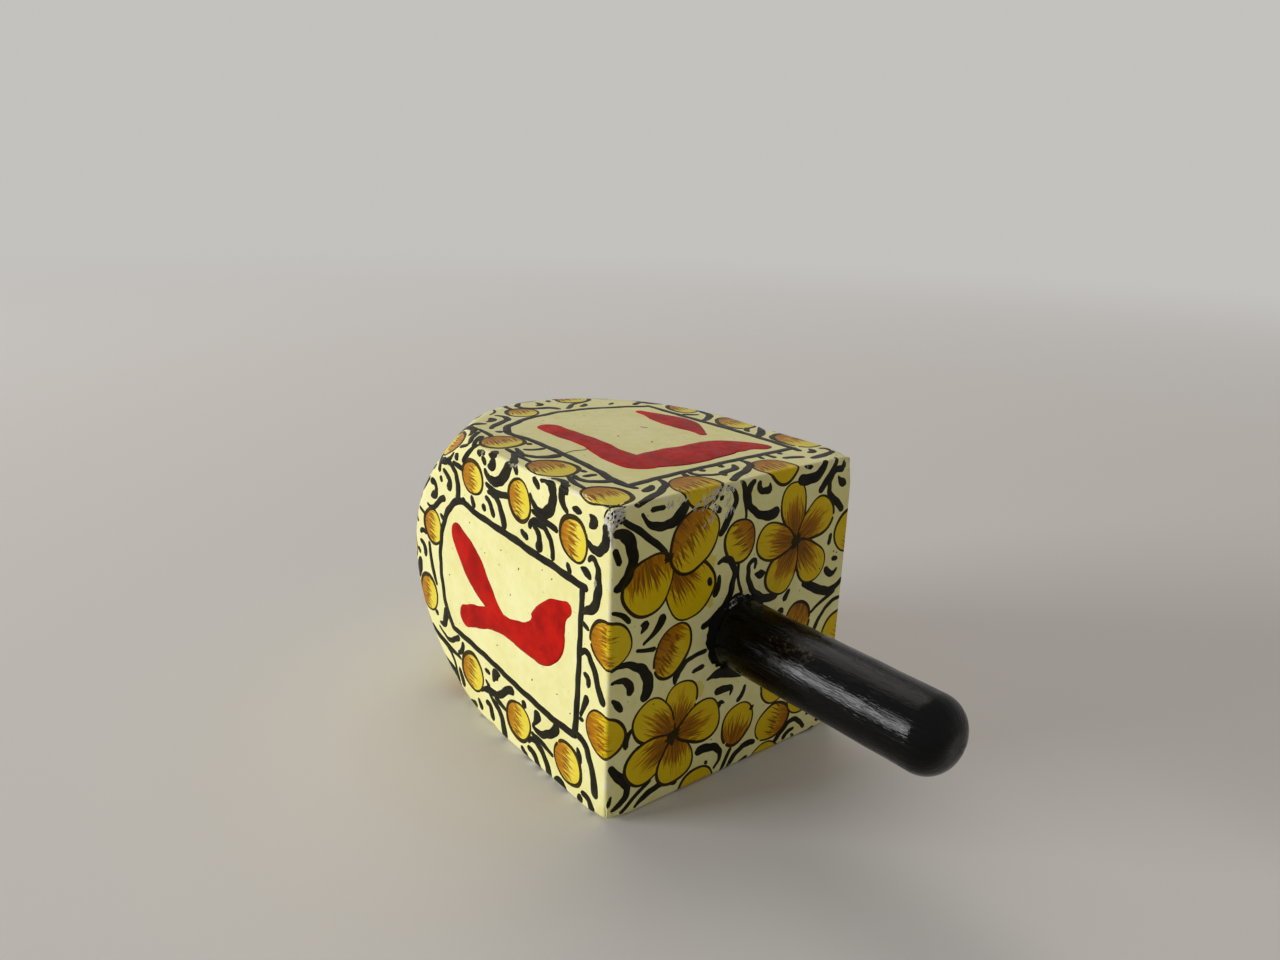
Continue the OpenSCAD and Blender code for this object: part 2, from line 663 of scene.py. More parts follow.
@dataclass(frozen=True)
class BrushPaint(Finish):
    """Brushed paint, thinner and paler where the brush ran dry."""

    name: str
    full: Colour
    thin: Colour
    roughness: float
    shine: float
    streaks: float
    relief: float
    brushy: float = 0.45
    rubbed: Colour = linear(206, 202, 168)

    def wire(self, graph: Graph, shader: bpy.types.Node) -> None:
        """Wire the paint's colour, gloss and brush relief.

        Args:
            graph: The material's graph.
            shader: The material's shader.
        """
        brush = graph.effect(SharedEffect.BRUSH_MARKS.tree(), Fineness=1.0)
        age = graph.effect(SharedEffect.VARNISH_AGE.tree(), Scale=1.6)
        edge = graph.effect(SharedEffect.RUBBED_EDGE.tree(), Scale=1.6, Amount=0.38)
        patchy = graph.weigh(age["Mottle"], 1 - self.brushy, brush["Streak"], self.brushy)
        dry = graph.math("ADD", patchy, graph.mark("deep"))
        share = graph.math("MULTIPLY", dry, self.streaks)
        colour = graph.blend(edge["Rub"], graph.blend(share, self.full, self.thin), self.rubbed)
        rough = self.gloss(graph, age["Dull"], less=0.07)
        self.coat(graph, shader, colour, rough, graph.bump(brush["Height"], self.relief * MM, 0.7))


@dataclass(frozen=True)
class PetalPaint(Finish):
    """Petal colours: yellow, with brown combed in from one end in fine streaks."""

    name: str = "bud_paint"
    yellow: Colour = linear(232, 208, 40)
    lemon: Colour = linear(240, 228, 100)
    brown: Colour = linear(184, 122, 12)
    umber: Colour = linear(126, 80, 6)
    roughness: float = 0.34
    shine: float = 0.09
    relief: float = 0.02

    def wire(self, graph: Graph, shader: bpy.types.Node) -> None:
        """Wire the petal's colours, gloss and brush relief.

        Args:
            graph: The material's graph.
            shader: The material's shader.
        """
        brush = graph.effect(SharedEffect.BRUSH_MARKS.tree(), Fineness=0.9)
        age = graph.effect(SharedEffect.VARNISH_AGE.tree(), Scale=1.4)
        streak = graph.math("SUBTRACT", brush["Streak"], 0.5)
        combed = graph.math("ADD", graph.mark("deep"), graph.math("MULTIPLY", streak, 0.5))
        ground = graph.blend(graph.math("MULTIPLY", age["Mottle"], 0.7), self.yellow, self.lemon)
        stained = graph.blend(graph.remap(combed, 0.3, 0.72), ground, self.brown)
        colour = graph.blend(graph.remap(combed, 0.86, 1.3), stained, self.umber)
        rough = self.gloss(graph, age["Dull"])
        self.coat(graph, shader, colour, rough, graph.bump(brush["Height"], self.relief * MM, 0.7))


@dataclass(frozen=True)
class BlackLacquer(Finish):
    """Thick black lacquer, uneven and scratched, worn through to brown flecks."""

    name: str = "worn_black_lacquer"
    black: Colour = linear(3, 3, 4)
    smoky: Colour = linear(9, 10, 11)
    fleck: Colour = linear(66, 56, 40)
    roughness: float = 0.08
    shine: float = 0.14
    relief: float = 0.09

    def wire(self, graph: Graph, shader: bpy.types.Node) -> None:
        """Wire the lacquer's colour, scratches and runs.

        Args:
            graph: The material's graph.
            shader: The material's shader.
        """
        brush = graph.effect(SharedEffect.BRUSH_MARKS.tree(), Fineness=0.6)
        age = graph.effect(SharedEffect.VARNISH_AGE.tree(), Scale=1.2)
        edge = graph.effect(SharedEffect.RUBBED_EDGE.tree(), Scale=3.4, Amount=0.5)
        coat = graph.blend(graph.math("MULTIPLY", brush["Streak"], 0.5), self.black, self.smoky)
        worn = graph.math("MULTIPLY", edge["Rub"], graph.remap(age["Dull"], 0.2, 0.8))
        colour = graph.blend(worn, coat, self.fleck)
        smooth, scratched = self.roughness - 0.03, self.roughness + 0.26
        rough = graph.remap(brush["Height"], 0.46, 0.6, smooth, scratched)
        height = graph.math("ADD", brush["Height"], graph.math("MULTIPLY", age["Height"], 0.5))
        self.coat(graph, shader, colour, rough, graph.bump(height, self.relief * MM, 0.9))


@dataclass(frozen=True)
class StageFloor(Finish):
    """Plain pale floor that keeps the object's shadow and fades into the background far away."""

    backdrop: Colour
    name: str = "stage_floor"
    pale: Colour = (0.8, 0.79, 0.77, 1.0)
    roughness: float = 0.9
    shine: float = 0.1
    fade_start: float = 0.15
    fade_end: float = 1.1

    def wire(self, graph: Graph, shader: bpy.types.Node) -> None:
        """Wire the floor's colour and its fade.

        Args:
            graph: The material's graph.
            shader: The material's shader.
        """
        shader.inputs["Base Color"].default_value = self.pale
        shader.inputs["Roughness"].default_value = self.roughness
        shader.inputs["Specular IOR Level"].default_value = self.shine
        length = graph.node("VectorMath", operation="LENGTH")
        graph.put(length.inputs[0], graph.node("TexCoord").outputs["Object"])
        far = graph.remap(length.outputs["Value"], self.fade_start, self.fade_end)
        share = graph.math("MULTIPLY", far, graph.seen())
        glow = graph.fill(graph.node("Emission"), {"Color": self.backdrop})
        graph.mix_shaders(share, shader.outputs[0], glow.outputs[0], "Material Output")


GROUND = IvoryVarnish()
BUDS = PetalPaint()
BLOSSOMS = PetalPaint(
    name="blossom_paint",
    yellow=linear(222, 188, 8),
    lemon=linear(228, 204, 36),
    brown=linear(176, 114, 6),
    umber=linear(116, 72, 4),
)
LACQUER = BlackLacquer()
# Dark glue. Its pale fleck colour mostly serves as the painted highlight arcs on the bead
DARK_GLUE = BlackLacquer(
    name="smeared_dark_glue",
    black=linear(4, 4, 4),
    smoky=linear(14, 13, 12),
    fleck=linear(190, 190, 184),
    roughness=0.42,
    shine=0.06,
)
SCROLL_BLACK = BrushPaint(
    "scroll_black", linear(15, 15, 9), linear(66, 62, 42), 0.38, 0.07, streaks=0.42, relief=0.02
)
LETTER_RED = BrushPaint(
    "letter_red", linear(150, 5, 2), linear(206, 24, 8), 0.4, 0.05, streaks=0.9, relief=0.02, brushy=0.12
)
LINE_OLIVE = BrushPaint(
    "line_olive", linear(34, 29, 7), linear(84, 64, 16), 0.4, 0.07, streaks=0.6, relief=0.01
)
HATCH_BROWN = BrushPaint(
    "hatch_brown", linear(116, 74, 6), linear(160, 108, 14), 0.4, 0.07, streaks=0.8, relief=0.01
)
SPILL_YELLOW = BrushPaint(
    "spill_yellow", linear(226, 202, 64), linear(234, 220, 120), 0.36, 0.08, streaks=0.9, relief=0.01
)
CHALK = BrushPaint(
    "chalk_scuff", linear(240, 238, 228), linear(150, 146, 132), 0.62, 0.08, streaks=0.75, relief=0.04
)


def mesh_object(
    name: str,
    points: np.ndarray,
    faces: list[list[int]],
    finish: Finish,
    grain: np.ndarray | None = None,
    marks: dict[str, np.ndarray] | None = None,
    flat: np.ndarray | None = None,
) -> bpy.types.Object:
    """Make a piece from its points and faces, dress it and let it ride on the body.

    Args:
        name: Name of the piece.
        points: Points in the shared frame, in metres.
        faces: Point numbers of each face.
        finish: The piece's finish.
        grain: Map of the brush direction, in millimetres, at each point.
        marks: Named values at each point that the finish reads.
        flat: True for each face that isn't smooth.

    Returns:
        The piece.
    """
    mesh = bpy.data.meshes.new(name)
    mesh.from_pydata(points.tolist(), [], faces)
    smooth = np.ones(len(faces), bool) if flat is None else ~flat
    mesh.polygons.foreach_set("use_smooth", smooth)
    if grain is not None:
        corners = np.empty(len(mesh.loops), np.int32)
        mesh.loops.foreach_get("vertex_index", corners)
        layer = mesh.uv_layers.new(name="grain")
        layer.uv.foreach_set("vector", grain[corners].astype(np.float32).ravel())
    for mark, values in (marks or {}).items():
        attribute = mesh.attributes.new(mark, "FLOAT", "POINT")
        attribute.data.foreach_set("value", values.astype(np.float32))
    mesh.materials.append(finish.material())
    mesh.update()
    piece = bpy.data.objects.new(name, mesh)
    bpy.context.scene.collection.objects.link(piece)
    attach(piece, BODY)
    log.info("%s: %d points, %d faces", name, len(points), len(faces))
    return piece


def ring_faces(rings: int, columns: int, flip: bool = False, loop: bool = False) -> list[list[int]]:
    """Number the faces of a mesh made of rings.

    Args:
        rings: Number of rings.
        columns: Points in each ring.
        flip: Whether the faces look the other way.
        loop: Whether the last ring joins the first one.

    Returns:
        Point numbers of each face.
    """
    index = np.arange(rings * columns).reshape(rings, columns)
    here = index if loop else index[:-1]
    ahead = np.roll(index, -1, axis=0) if loop else index[1:]
    corners = [here, ahead, np.roll(ahead, -1, axis=1), np.roll(here, -1, axis=1)]
    quads = np.stack(corners, -1).reshape(-1, 4)
    return (quads[:, ::-1] if flip else quads).tolist()


def fan_faces(start: int, columns: int, middle: int, flip: bool = False) -> list[list[int]]:
    """Number the triangles that join a ring, from its first point on, to one middle point."""
    pairs = [(start + k, start + (k + 1) % columns) for k in range(columns)]
    return [[n, k, middle] if flip else [k, n, middle] for k, n in pairs]


# Heights of the paint films above the ground. Their rims and undersides lie just below it.
SPILL_HEIGHT = 0.006
FILL_HEIGHT = 0.014
HATCH_HEIGHT = 0.018
LINE_HEIGHT = 0.021
SCROLL_HEIGHT = 0.03
LETTER_HEIGHT = 0.03
SCUFF_HEIGHT = 0.06
SPECK_HEIGHT = 0.066
HEART_HEIGHT = 0.08
RIM_HEIGHT = -0.014
UNDERSIDE_HEIGHT = -0.05
LAYER_HEIGHT = 0.012


@dataclass(frozen=True)
class Petal:
    """One painted petal or bud, brown at one end and yellow at the other.

    Attributes:
        at: Middle of the petal in its face's drawing.
        length: Length along its axis.
        width: Width across its axis.
        lean: Direction of the axis from the brown end to the yellow end, in degrees.
        shade: Direction that the brown fades along, in degrees, where it isn't the axis.
        wedge: How much the brown narrows to the middle.
        stain: How far the brown reaches.
        taper: How much narrower the brown end is.
        layer: Place in the order of painting, so that later petals cover earlier ones.
    """

    at: Spot
    length: float
    width: float
    lean: float = 0.0
    shade: float | None = None
    wedge: float = 0.0
    stain: float = 0.5
    taper: float = 0.06
    layer: int = 0

    @property
    def rise(self) -> float:
        """Extra height that keeps later petals over earlier ones."""
        return LAYER_HEIGHT * self.layer

    def shading(self) -> tuple[np.ndarray, np.ndarray, float, float]:
        """Give the directions of the brown's fade and the petal's reach along them.

        Returns:
            The direction of the fade and the one across it, then half the length along the first
            and half the width along the second.
        """
        shade = math.radians(self.lean if self.shade is None else self.shade)
        tilt = shade - math.radians(self.lean)
        cos, sin = math.cos(tilt), math.sin(tilt)
        half = math.hypot(self.length * cos, self.width * sin) / 2
        side = math.hypot(self.length * sin, self.width * cos) / 2
        along = np.array([math.cos(shade), math.sin(shade)])
        return along, np.array([-along[1], along[0]]), half, side

    def rim(self, count: int) -> np.ndarray:
        """Draw the petal's outline in its own frame, a little unsteady.

        Args:
            count: Number of points.

        Returns:
            Points round the petal, with x along its axis.
        """
        turn = round_angles(count)
        odd = np.sin(np.array([5.1, 7.3, 3.7]) * (self.at[0] + 1.7 * self.at[1] + self.length))
        unsteady = 1 + 0.02 * np.sin(2 * turn + 3 * odd[0]) + 0.012 * np.sin(3 * turn + 3 * odd[1])
        narrow = 1 + (self.taper + 0.03 * odd[2]) * np.cos(turn)
        x = np.cos(turn) * unsteady * self.length / 2
        y = np.sin(turn) * unsteady * narrow * self.width / 2
        return np.column_stack([x, y])


def blossom(at: Spot, stain: float, heads: list[tuple[float, float, float, float]]) -> list[Petal]:
    """Draw a flower whose petals run out from one spot.

    Args:
        at: Middle of the flower.
        stain: How far the brown of its petals reaches.
        heads: For each petal its middle, its length and its width.

    Returns:
        The petals in the order of painting.
    """
    gap, wedge, taper = 0.35, 0.42, 0.34
    petals = []
    for layer, (x, y, length, width) in enumerate(heads):
        way = math.atan2(y - at[1], x - at[0])
        long = math.hypot(x - at[0], y - at[1]) + length / 2 - gap
        middle = gap + long / 2
        spot = (at[0] + middle * math.cos(way), at[1] + middle * math.sin(way))
        petals.append(Petal(spot, long, width, math.degrees(way), None, wedge, stain, taper, layer))
    return petals


@dataclass(frozen=True)
class Brush:
    """How the painter's brush runs.

    Attributes:
        step: Distance between the samples of a stroke.
        tip: Share of its width by which a stroke runs on past its ends.
        least: Least width of a stroke.
        slow: Radians of slow wavering to a millimetre.
        quick: Radians of quick wavering to a millimetre.
        waver: Share of its width by which a stroke swells and thins.
        broad: Width above which the wavering grows no further.
        blunt: How far the round tips close.
        sway: How far a stroke strays sideways.
        fold: Edge mark from which on a stroke needs a closer mesh across it.
        fine: Points across the top of a stroke at an edge.
        plain: Points across the top of any other stroke.
        shoulder: Share of the width at which a stroke's top begins and ends.
        dome: How much lower the top is towards its sides.
        dry: How pale the end of a stroke gets when the brush runs dry.
        dry_from: Share of the stroke's length at which that begins.
        dry_luck: Phase above which a stroke runs dry.
        pool: How much the depth of the paint varies along a stroke.
        pool_rate: Radians of that variation to a millimetre.
        shift: How far the brush maps of two strokes may lie apart, to each radian of phase.
    """

    step: float = 0.25
    tip: float = 0.3
    least: float = 0.08
    slow: float = 1.3
    quick: float = 3.1
    waver: float = 0.035
    broad: float = 1.6
    blunt: float = 0.985
    sway: float = 0.05
    fold: float = 0.2
    fine: int = 9
    plain: int = 3
    shoulder: float = 0.41
    dome: float = 0.5
    dry: float = 0.5
    dry_from: float = 0.75
    dry_luck: float = 3.0
    pool: float = 0.1
    pool_rate: float = 0.9
    shift: float = 40.0

    def lengthen(self, stroke: Stroke) -> np.ndarray:
        """Lengthen a stroke at both ends for its round tips.

        Args:
            stroke: Places along the stroke, each with its width.

        Returns:
            The longer stroke, one row for each place.
        """
        drawn = np.array(stroke, float)
        tips = []
        for end, inner in ((drawn[0], drawn[1]), (drawn[-1], drawn[-2])):
            out = end[:2] - inner[:2]
            out *= self.tip * end[2] / max(np.linalg.norm(out), TINY)
            tips.append(np.append(end[:2] + out, end[2]))
        return np.vstack([tips[0], drawn, tips[1]])

    def widths(self, drawn: np.ndarray, run: np.ndarray, phase: np.ndarray) -> np.ndarray:
        """Make a stroke's widths unsteady and round off its tips.

        Args:
            drawn: Width at each sample.
            run: Length along the stroke at each sample.
            phase: Phases of the slow and the quick wavering.

        Returns:
            The painted width at each sample.
        """
        unsteady = np.sin(self.slow * run + phase[0]) + 0.5 * np.sin(self.quick * run + phase[1])
        width = drawn + self.waver * unsteady * np.minimum(drawn, self.broad)
        left = np.minimum(run, run[-1] - run)
        return width * np.sqrt(1 - np.clip(1 - left / (0.5 * width), 0, self.blunt) ** 2)

    def dryness(self, run: np.ndarray, phase: np.ndarray) -> np.ndarray:
        """Tell where the brush runs dry.

        Args:
            run: Length along the stroke at each sample.
            phase: Phases of the wavering. The second one also picks the strokes that run dry.

        Returns:
            How dry the brush is at each sample.
        """
        dry = self.dry if phase[1] > self.dry_luck else 0.0
        end = dry * smoothstep(self.dry_from, 1.0, run / run[-1])
        return end + self.pool * np.sin(self.pool_rate * run + phase[0])


@dataclass(frozen=True)
class Comb:
    """How brown strokes are combed into a petal. Places are shares of its half length or half width.

    Attributes:
        spacing: Distance between the strokes in millimetres.
        first: Place of the first stroke across the petal.
        last: Place that the strokes end before.
        stray: How far a stroke may lie off its place.
        room: Least square of the length that a stroke has at the petal's sides.
        root: Where the strokes of a blossom's petal begin.
        start: Where other strokes begin, at the least and at the most.
        stop: Where strokes end, at the least and at the most.
        bend: How far a stroke may bend.
        bold: Least and greatest boldness of a stroke.
        flower: How much the strokes of a blossom's petal spread, and how much they slant.
        bud: The same for other petals.
        pivot: Where the spreading strokes are at their own places.
        shape: Share of a stroke's length, with the width there in millimetres.
    """

    spacing: float = 0.72
    first: float = -0.8
    last: float = 0.81
    stray: float = 0.06
    room: float = 0.05
    root: float = -0.8
    start: Spot = (-0.5, -0.3)
    stop: Spot = (0.15, 0.6)
    bend: float = 0.05
    bold: Spot = (0.6, 1.15)
    flower: Spot = (0.5, 0.0)
    bud: Spot = (0.1, 0.16)
    pivot: float = 0.4
    shape: tuple[Spot, ...] = ((0.0, 0.34), (0.4, 0.44), (0.75, 0.24), (1.0, 0.06))


class Film:
    """One paint film on the block, made of thin closed shells that follow the surface."""

    brush: Brush = Brush()
    comb: Comb = Comb()

    def __init__(self, form: BlockForm, height: float, seed: int) -> None:
        """Start an empty film.

        Args:
            form: The surface that the film lies on.
            height: Thickness of the film.
            seed: Seed of the hand's unsteadiness.
        """
        self.form = form
        self.height = height
        self.rng = np.random.default_rng(seed)
        self.points: list[np.ndarray] = []
        self.grain: list[np.ndarray] = []
        self.deep: list[np.ndarray] = []
        self.faces: list[list[int]] = []
        self.flat: list[bool] = []
        self.count = 0

    def add(
        self,
        face: Face,
        spots: np.ndarray,
        lift: np.ndarray,
        grain: np.ndarray,
        deep: np.ndarray,
        faces: list[list[int]],
        flat: list[bool],
    ) -> None:
        """Add one shell.

        Args:
            face: Face that the shell lies on.
            spots: Its points in the face's drawing.
            lift: Height of each point above the ground.
            grain: Brush map of each point.
            deep: Shade of each point.
            faces: Point numbers of each of the shell's faces.
            flat: True for each face that isn't smooth.
        """
        self.points.append(self.form.place(self.form.sharp(face, spots), lift))
        self.grain.append(grain)
        self.deep.append(deep)
        self.faces += [[number + self.count for number in corner] for corner in faces]
        self.flat += flat
        self.count += len(spots)

    def ribbon(self, face: Face, stroke: Stroke, bold: float = 1.0, rise: float = 0.0) -> None:
        """Paint one brush stroke.

        Args:
            face: Face that the stroke is on.
            stroke: Places along the stroke, each with the stroke's width there.
            bold: What the widths are multiplied by.
            rise: Extra height of the stroke.
        """
        brush = self.brush
        path = smooth_path(brush.lengthen(stroke), brush.step)
        places = path[:, :2]
        way = unit(np.gradient(places, axis=0))
        side = np.column_stack([-way[:, 1], way[:, 0]])
        steps = np.linalg.norm(np.diff(places, axis=0), axis=1)
        run = np.concatenate([[0], np.cumsum(steps)])
        phase = self.rng.uniform(0, ANY_PHASE, 4)
        width = brush.widths(np.maximum(path[:, 2], brush.least) * bold, run, phase)
        sway = brush.sway * np.sin(brush.slow * run + phase[2])
        edge = self.form.edge_mark(self.form.place(self.form.sharp(face, places))).max()
        points_on_top = brush.fine if edge > brush.fold else brush.plain
        inner = np.linspace(-brush.shoulder, brush.shoulder, points_on_top)
        top = (self.height + rise) * (1 - brush.dome * inner**2)
        lifts = np.concatenate([[RIM_HEIGHT], top, [RIM_HEIGHT]])
        offset = width[:, None] * np.concatenate([[-0.5], inner, [0.5]]) + sway[:, None]
        spots = (places[:, None] + side[:, None] * offset[:, :, None]).reshape(-1, 2)
        along = np.broadcast_to(run[:, None] + brush.shift * phase[3], offset.shape)
        grain = np.stack([along, offset], -1).reshape(-1, 2)
        count, rows = offset.shape
        deep = np.repeat(brush.dryness(run, phase), rows)
        faces = ring_faces(count, rows)
        flat = [number % rows == rows - 1 for number in range(len(faces))] + [True, True]
        faces += [list(range(rows)), list(range(rows * count - 1, rows * (count - 1) - 1, -1))]
        self.add(face, spots, np.tile(lifts, count), grain, deep, faces, flat)

    def ribbons(self, face: Face, strokes: list[Stroke], bold: float = 1.0) -> None:
        """Paint several brush strokes on one face."""
        for stroke in strokes:
            self.ribbon(face, stroke, bold)

    def shell(
        self, face: Face, columns: int, spots: np.ndarray, grain: np.ndarray, deep: np.ndarray, top: float
    ) -> None:
        """Add a filled shape made of rings that run in from its rim to its middle.

        Args:
            face: Face that the shape is on.
            columns: Points in each ring.
            spots: The rings from the rim inward, then the middle of the top and of the underside.
            grain: Brush map of each spot.
            deep: Shade of each spot.
            top: Height of the shape.
        """
        total = len(spots) - 2
        lift = np.full(len(spots), top)
        lift[:columns] = RIM_HEIGHT
        lift[-1] = UNDERSIDE_HEIGHT
        faces = ring_faces(total // columns, columns, flip=True)
        faces += fan_faces(total - columns, columns, total)
        faces += fan_faces(0, columns, total + 1, flip=True)
        self.add(face, spots, lift, grain, deep, faces, [False] * total + [True] * columns)

    @staticmethod
    def rings(rim: np.ndarray, shares: np.ndarray) -> np.ndarray:
        """Draw rings inside a rim round the origin, at shares of its size, then the middle twice."""
        return np.vstack([(rim[None] * shares[:, None, None]).reshape(-1, 2), np.zeros((2, 2))])

    def petal(self, face: Face, petal: Petal, fine: bool = False) -> None:
        """Fill one petal or bud.

        Args:
            face: Face that the petal is on.
            petal: The petal.
            fine: Whether the petal folds over an edge and needs a closer mesh.
        """
        columns, rings = (84, 16) if fine else (48, 9)
        over, jitter, fade = 1.03, 0.16, 0.62
        shares = np.concatenate([[1.0], np.linspace(0.955, 0.06, rings - 1)])
        leaned = turned(self.rings(petal.rim(columns), shares), petal.lean)
        spots = leaned * over + petal.at + self.rng.uniform(-jitter, jitter, 2)
        long, wide, half, side = petal.shading()
        along, aside = leaned @ long / half, leaned @ wide / side
        deep = petal.stain - fade * along - petal.wedge * np.abs(aside)
        grain = np.column_stack([along * half + self.rng.uniform(0, 400), aside * side])
        self.shell(face, columns, spots, grain, deep, self.height + petal.rise)

    def petal_line(self, face: Face, petal: Petal, width: float) -> None:
        """Draw the line round one petal or bud.

        Args:
            face: Face that the petal is on.
            petal: The petal.
            width: Width of the line.
        """
        count, overlap, press = 36, 3, 0.35
        rim = turned(petal.rim(count), petal.lean) + petal.at
        begin = int(self.rng.integers(0, count))
        sweep = int(self.rng.integers(count, count + overlap))
        pressed = np.sin(np.linspace(0, ANY_PHASE, sweep) + self.rng.uniform(0, ANY_PHASE))
        widths = width * (1 + press * pressed)
        line = [(*rim[(begin + k) % count], widths[k]) for k in range(sweep)]
        self.ribbon(face, line, 1.0, petal.rise)

    def hatch(self, face: Face, petal: Petal) -> None:
        """Comb tapering brown strokes from a petal's brown end into its yellow.

        Args:
            face: Face that the petal is on.
            petal: The petal.
        """
        comb = self.comb
        long, wide, half, side = petal.shading()
        fan, slant = comb.flower if petal.wedge else comb.bud
        for offset in np.arange(comb.first * side, comb.last * side, comb.spacing):
            aside = offset / side + self.rng.uniform(-comb.stray, comb.stray)
            room = math.sqrt(max(1 - aside**2, comb.room))
            start = (comb.root if petal.wedge else self.rng.uniform(*comb.start)) * room
            stop = self.rng.uniform(*comb.stop) * room * (1 - petal.wedge * abs(aside))
            bend = self.rng.uniform(-comb.bend, comb.bend)
            bold = self.rng.uniform(*comb.bold)
            line = []
            for share, width in comb.shape:
                along = start + (stop - start) * share
                bent = aside + bend * math.sin(math.pi * share)
                across = bent * (1 + fan * (along - comb.pivot)) - slant * share
                spot = petal.at + long * along * half + wide * across * side
                line.append((spot[0], spot[1], width * bold))
            self.ribbon(face, line, 1.0, petal.rise)

    def ragged(self, face: Face, at: Spot, reach: Spot, lean: float, deep: float = 0.0) -> None:
        """Fill a small patch with a torn outline.

        Args:
            face: Face that the patch is on.
            at: Middle of the patch.
            reach: Half its length and half its width.
            lean: Direction of its length in degrees.
            deep: Shade of the patch.
        """
        columns, shares = 30, np.array([1.0, 0.84, 0.6, 0.3])
        turn = round_angles(columns)
        torn = 1 + self.rng.uniform(-0.28, 0.22, columns)
        rim = np.column_stack([np.cos(turn), np.sin(turn)]) * reach * torn[:, None]
        spots = turned(self.rings(rim, shares), lean) + at
        grain = spots + self.rng.uniform(0, 300)
        self.shell(face, columns, spots, grain, np.full(len(spots), deep), self.height)

    def scatter(
        self, face: Face, at: Spot, reach: Spot, lean: float, count: int, sizes: Spot, way: float
    ) -> None:
        """Strew short dabs over an oval spot.

        Args:
            face: Face that the dabs are on.
            at: Middle of the spot.
            reach: Half its length and half its width.
            lean: Direction of its length in degrees.
            count: Number of dabs.
            sizes: Shortest and longest dab.
            way: Direction that most dabs take in degrees.
        """
        spread, crook = 22, 0.08
        for _ in range(count):
            out, turn = math.sqrt(self.rng.uniform()), self.rng.uniform(0, FULL_TURN)
            local = np.array([math.cos(turn), math.sin(turn)]) * out * reach
            x, y = turned(local, lean) + at
            dab = math.radians(way + self.rng.normal(0, spread))
            size = self.rng.uniform(*sizes)
            width = self.rng.uniform(0.1, 0.24) * (0.6 + 0.5 * size)
            step_x, step_y = 0.5 * size * math.cos(dab), 0.5 * size * math.sin(dab)
            bend = self.rng.normal(0, crook)
            start = (x - step_x, y - step_y, width * 0.6)
            stop = (x + step_x, y + step_y, width * 0.4)
            self.ribbon(face, [start, (x + bend, y - bend, width), stop])

    def piece(self, name: str, finish: Finish, slot: str) -> bpy.types.Object:
        """Make the film's piece.

        Args:
            name: Name of the piece.
            finish: Finish of the film.
            slot: Material slot of the record that it belongs to. Not used.

        Returns:
            The piece.
        """
        points = np.vstack(self.points)
        grain = np.vstack(self.grain)
        marks = {"deep": np.concatenate(self.deep), "edge": self.form.edge_mark(points)}
        made = mesh_object(name, points, self.faces, finish, grain, marks, np.array(self.flat))
        return made


class Bouquet:
    """The buds and petals of one face in three films: their fill, combed brown and outlines."""

    def __init__(self, form: BlockForm, face: Face, seeds: tuple[int, int, int]) -> None:
        """Start the films.

        Args:
            form: The surface that the films lie on.
            face: The face.
            seeds: Seeds of the fill, of the combed brown and of the outlines.
        """
        self.face = face
        self.fills = Film(form, FILL_HEIGHT, seeds[0])
        self.hatch = Film(form, HATCH_HEIGHT, seeds[1])
        self.lines = Film(form, LINE_HEIGHT, seeds[2])

    def paint(self, petals: list[Petal], line_width: float, fine: bool = False) -> None:
        """Paint petals one after the other.

        Args:
            petals: The petals in their order.
            line_width: Width of the outlines.
            fine: Whether the petals fold over an edge and need a closer mesh.
        """
        for petal in petals:
            self.fills.petal(self.face, petal, fine)
            self.hatch.hatch(self.face, petal)
            self.lines.petal_line(self.face, petal, line_width)

    def pieces(self, finish: PetalPaint, fill: str, hatch: str, lines: str) -> list[bpy.types.Object]:
        """Make the films' pieces.

        Args:
            finish: Finish of the fill.
            fill: Name of the fill.
            hatch: Name of the combed brown.
            lines: Name of the outlines.

        Returns:
            The pieces.
        """
        return [
            self.fills.piece(fill, finish, "yellow_paint"),
            self.hatch.piece(hatch, HATCH_BROWN, "yellow_paint"),
            self.lines.piece(lines, LINE_OLIVE, "black_paint"),
        ]


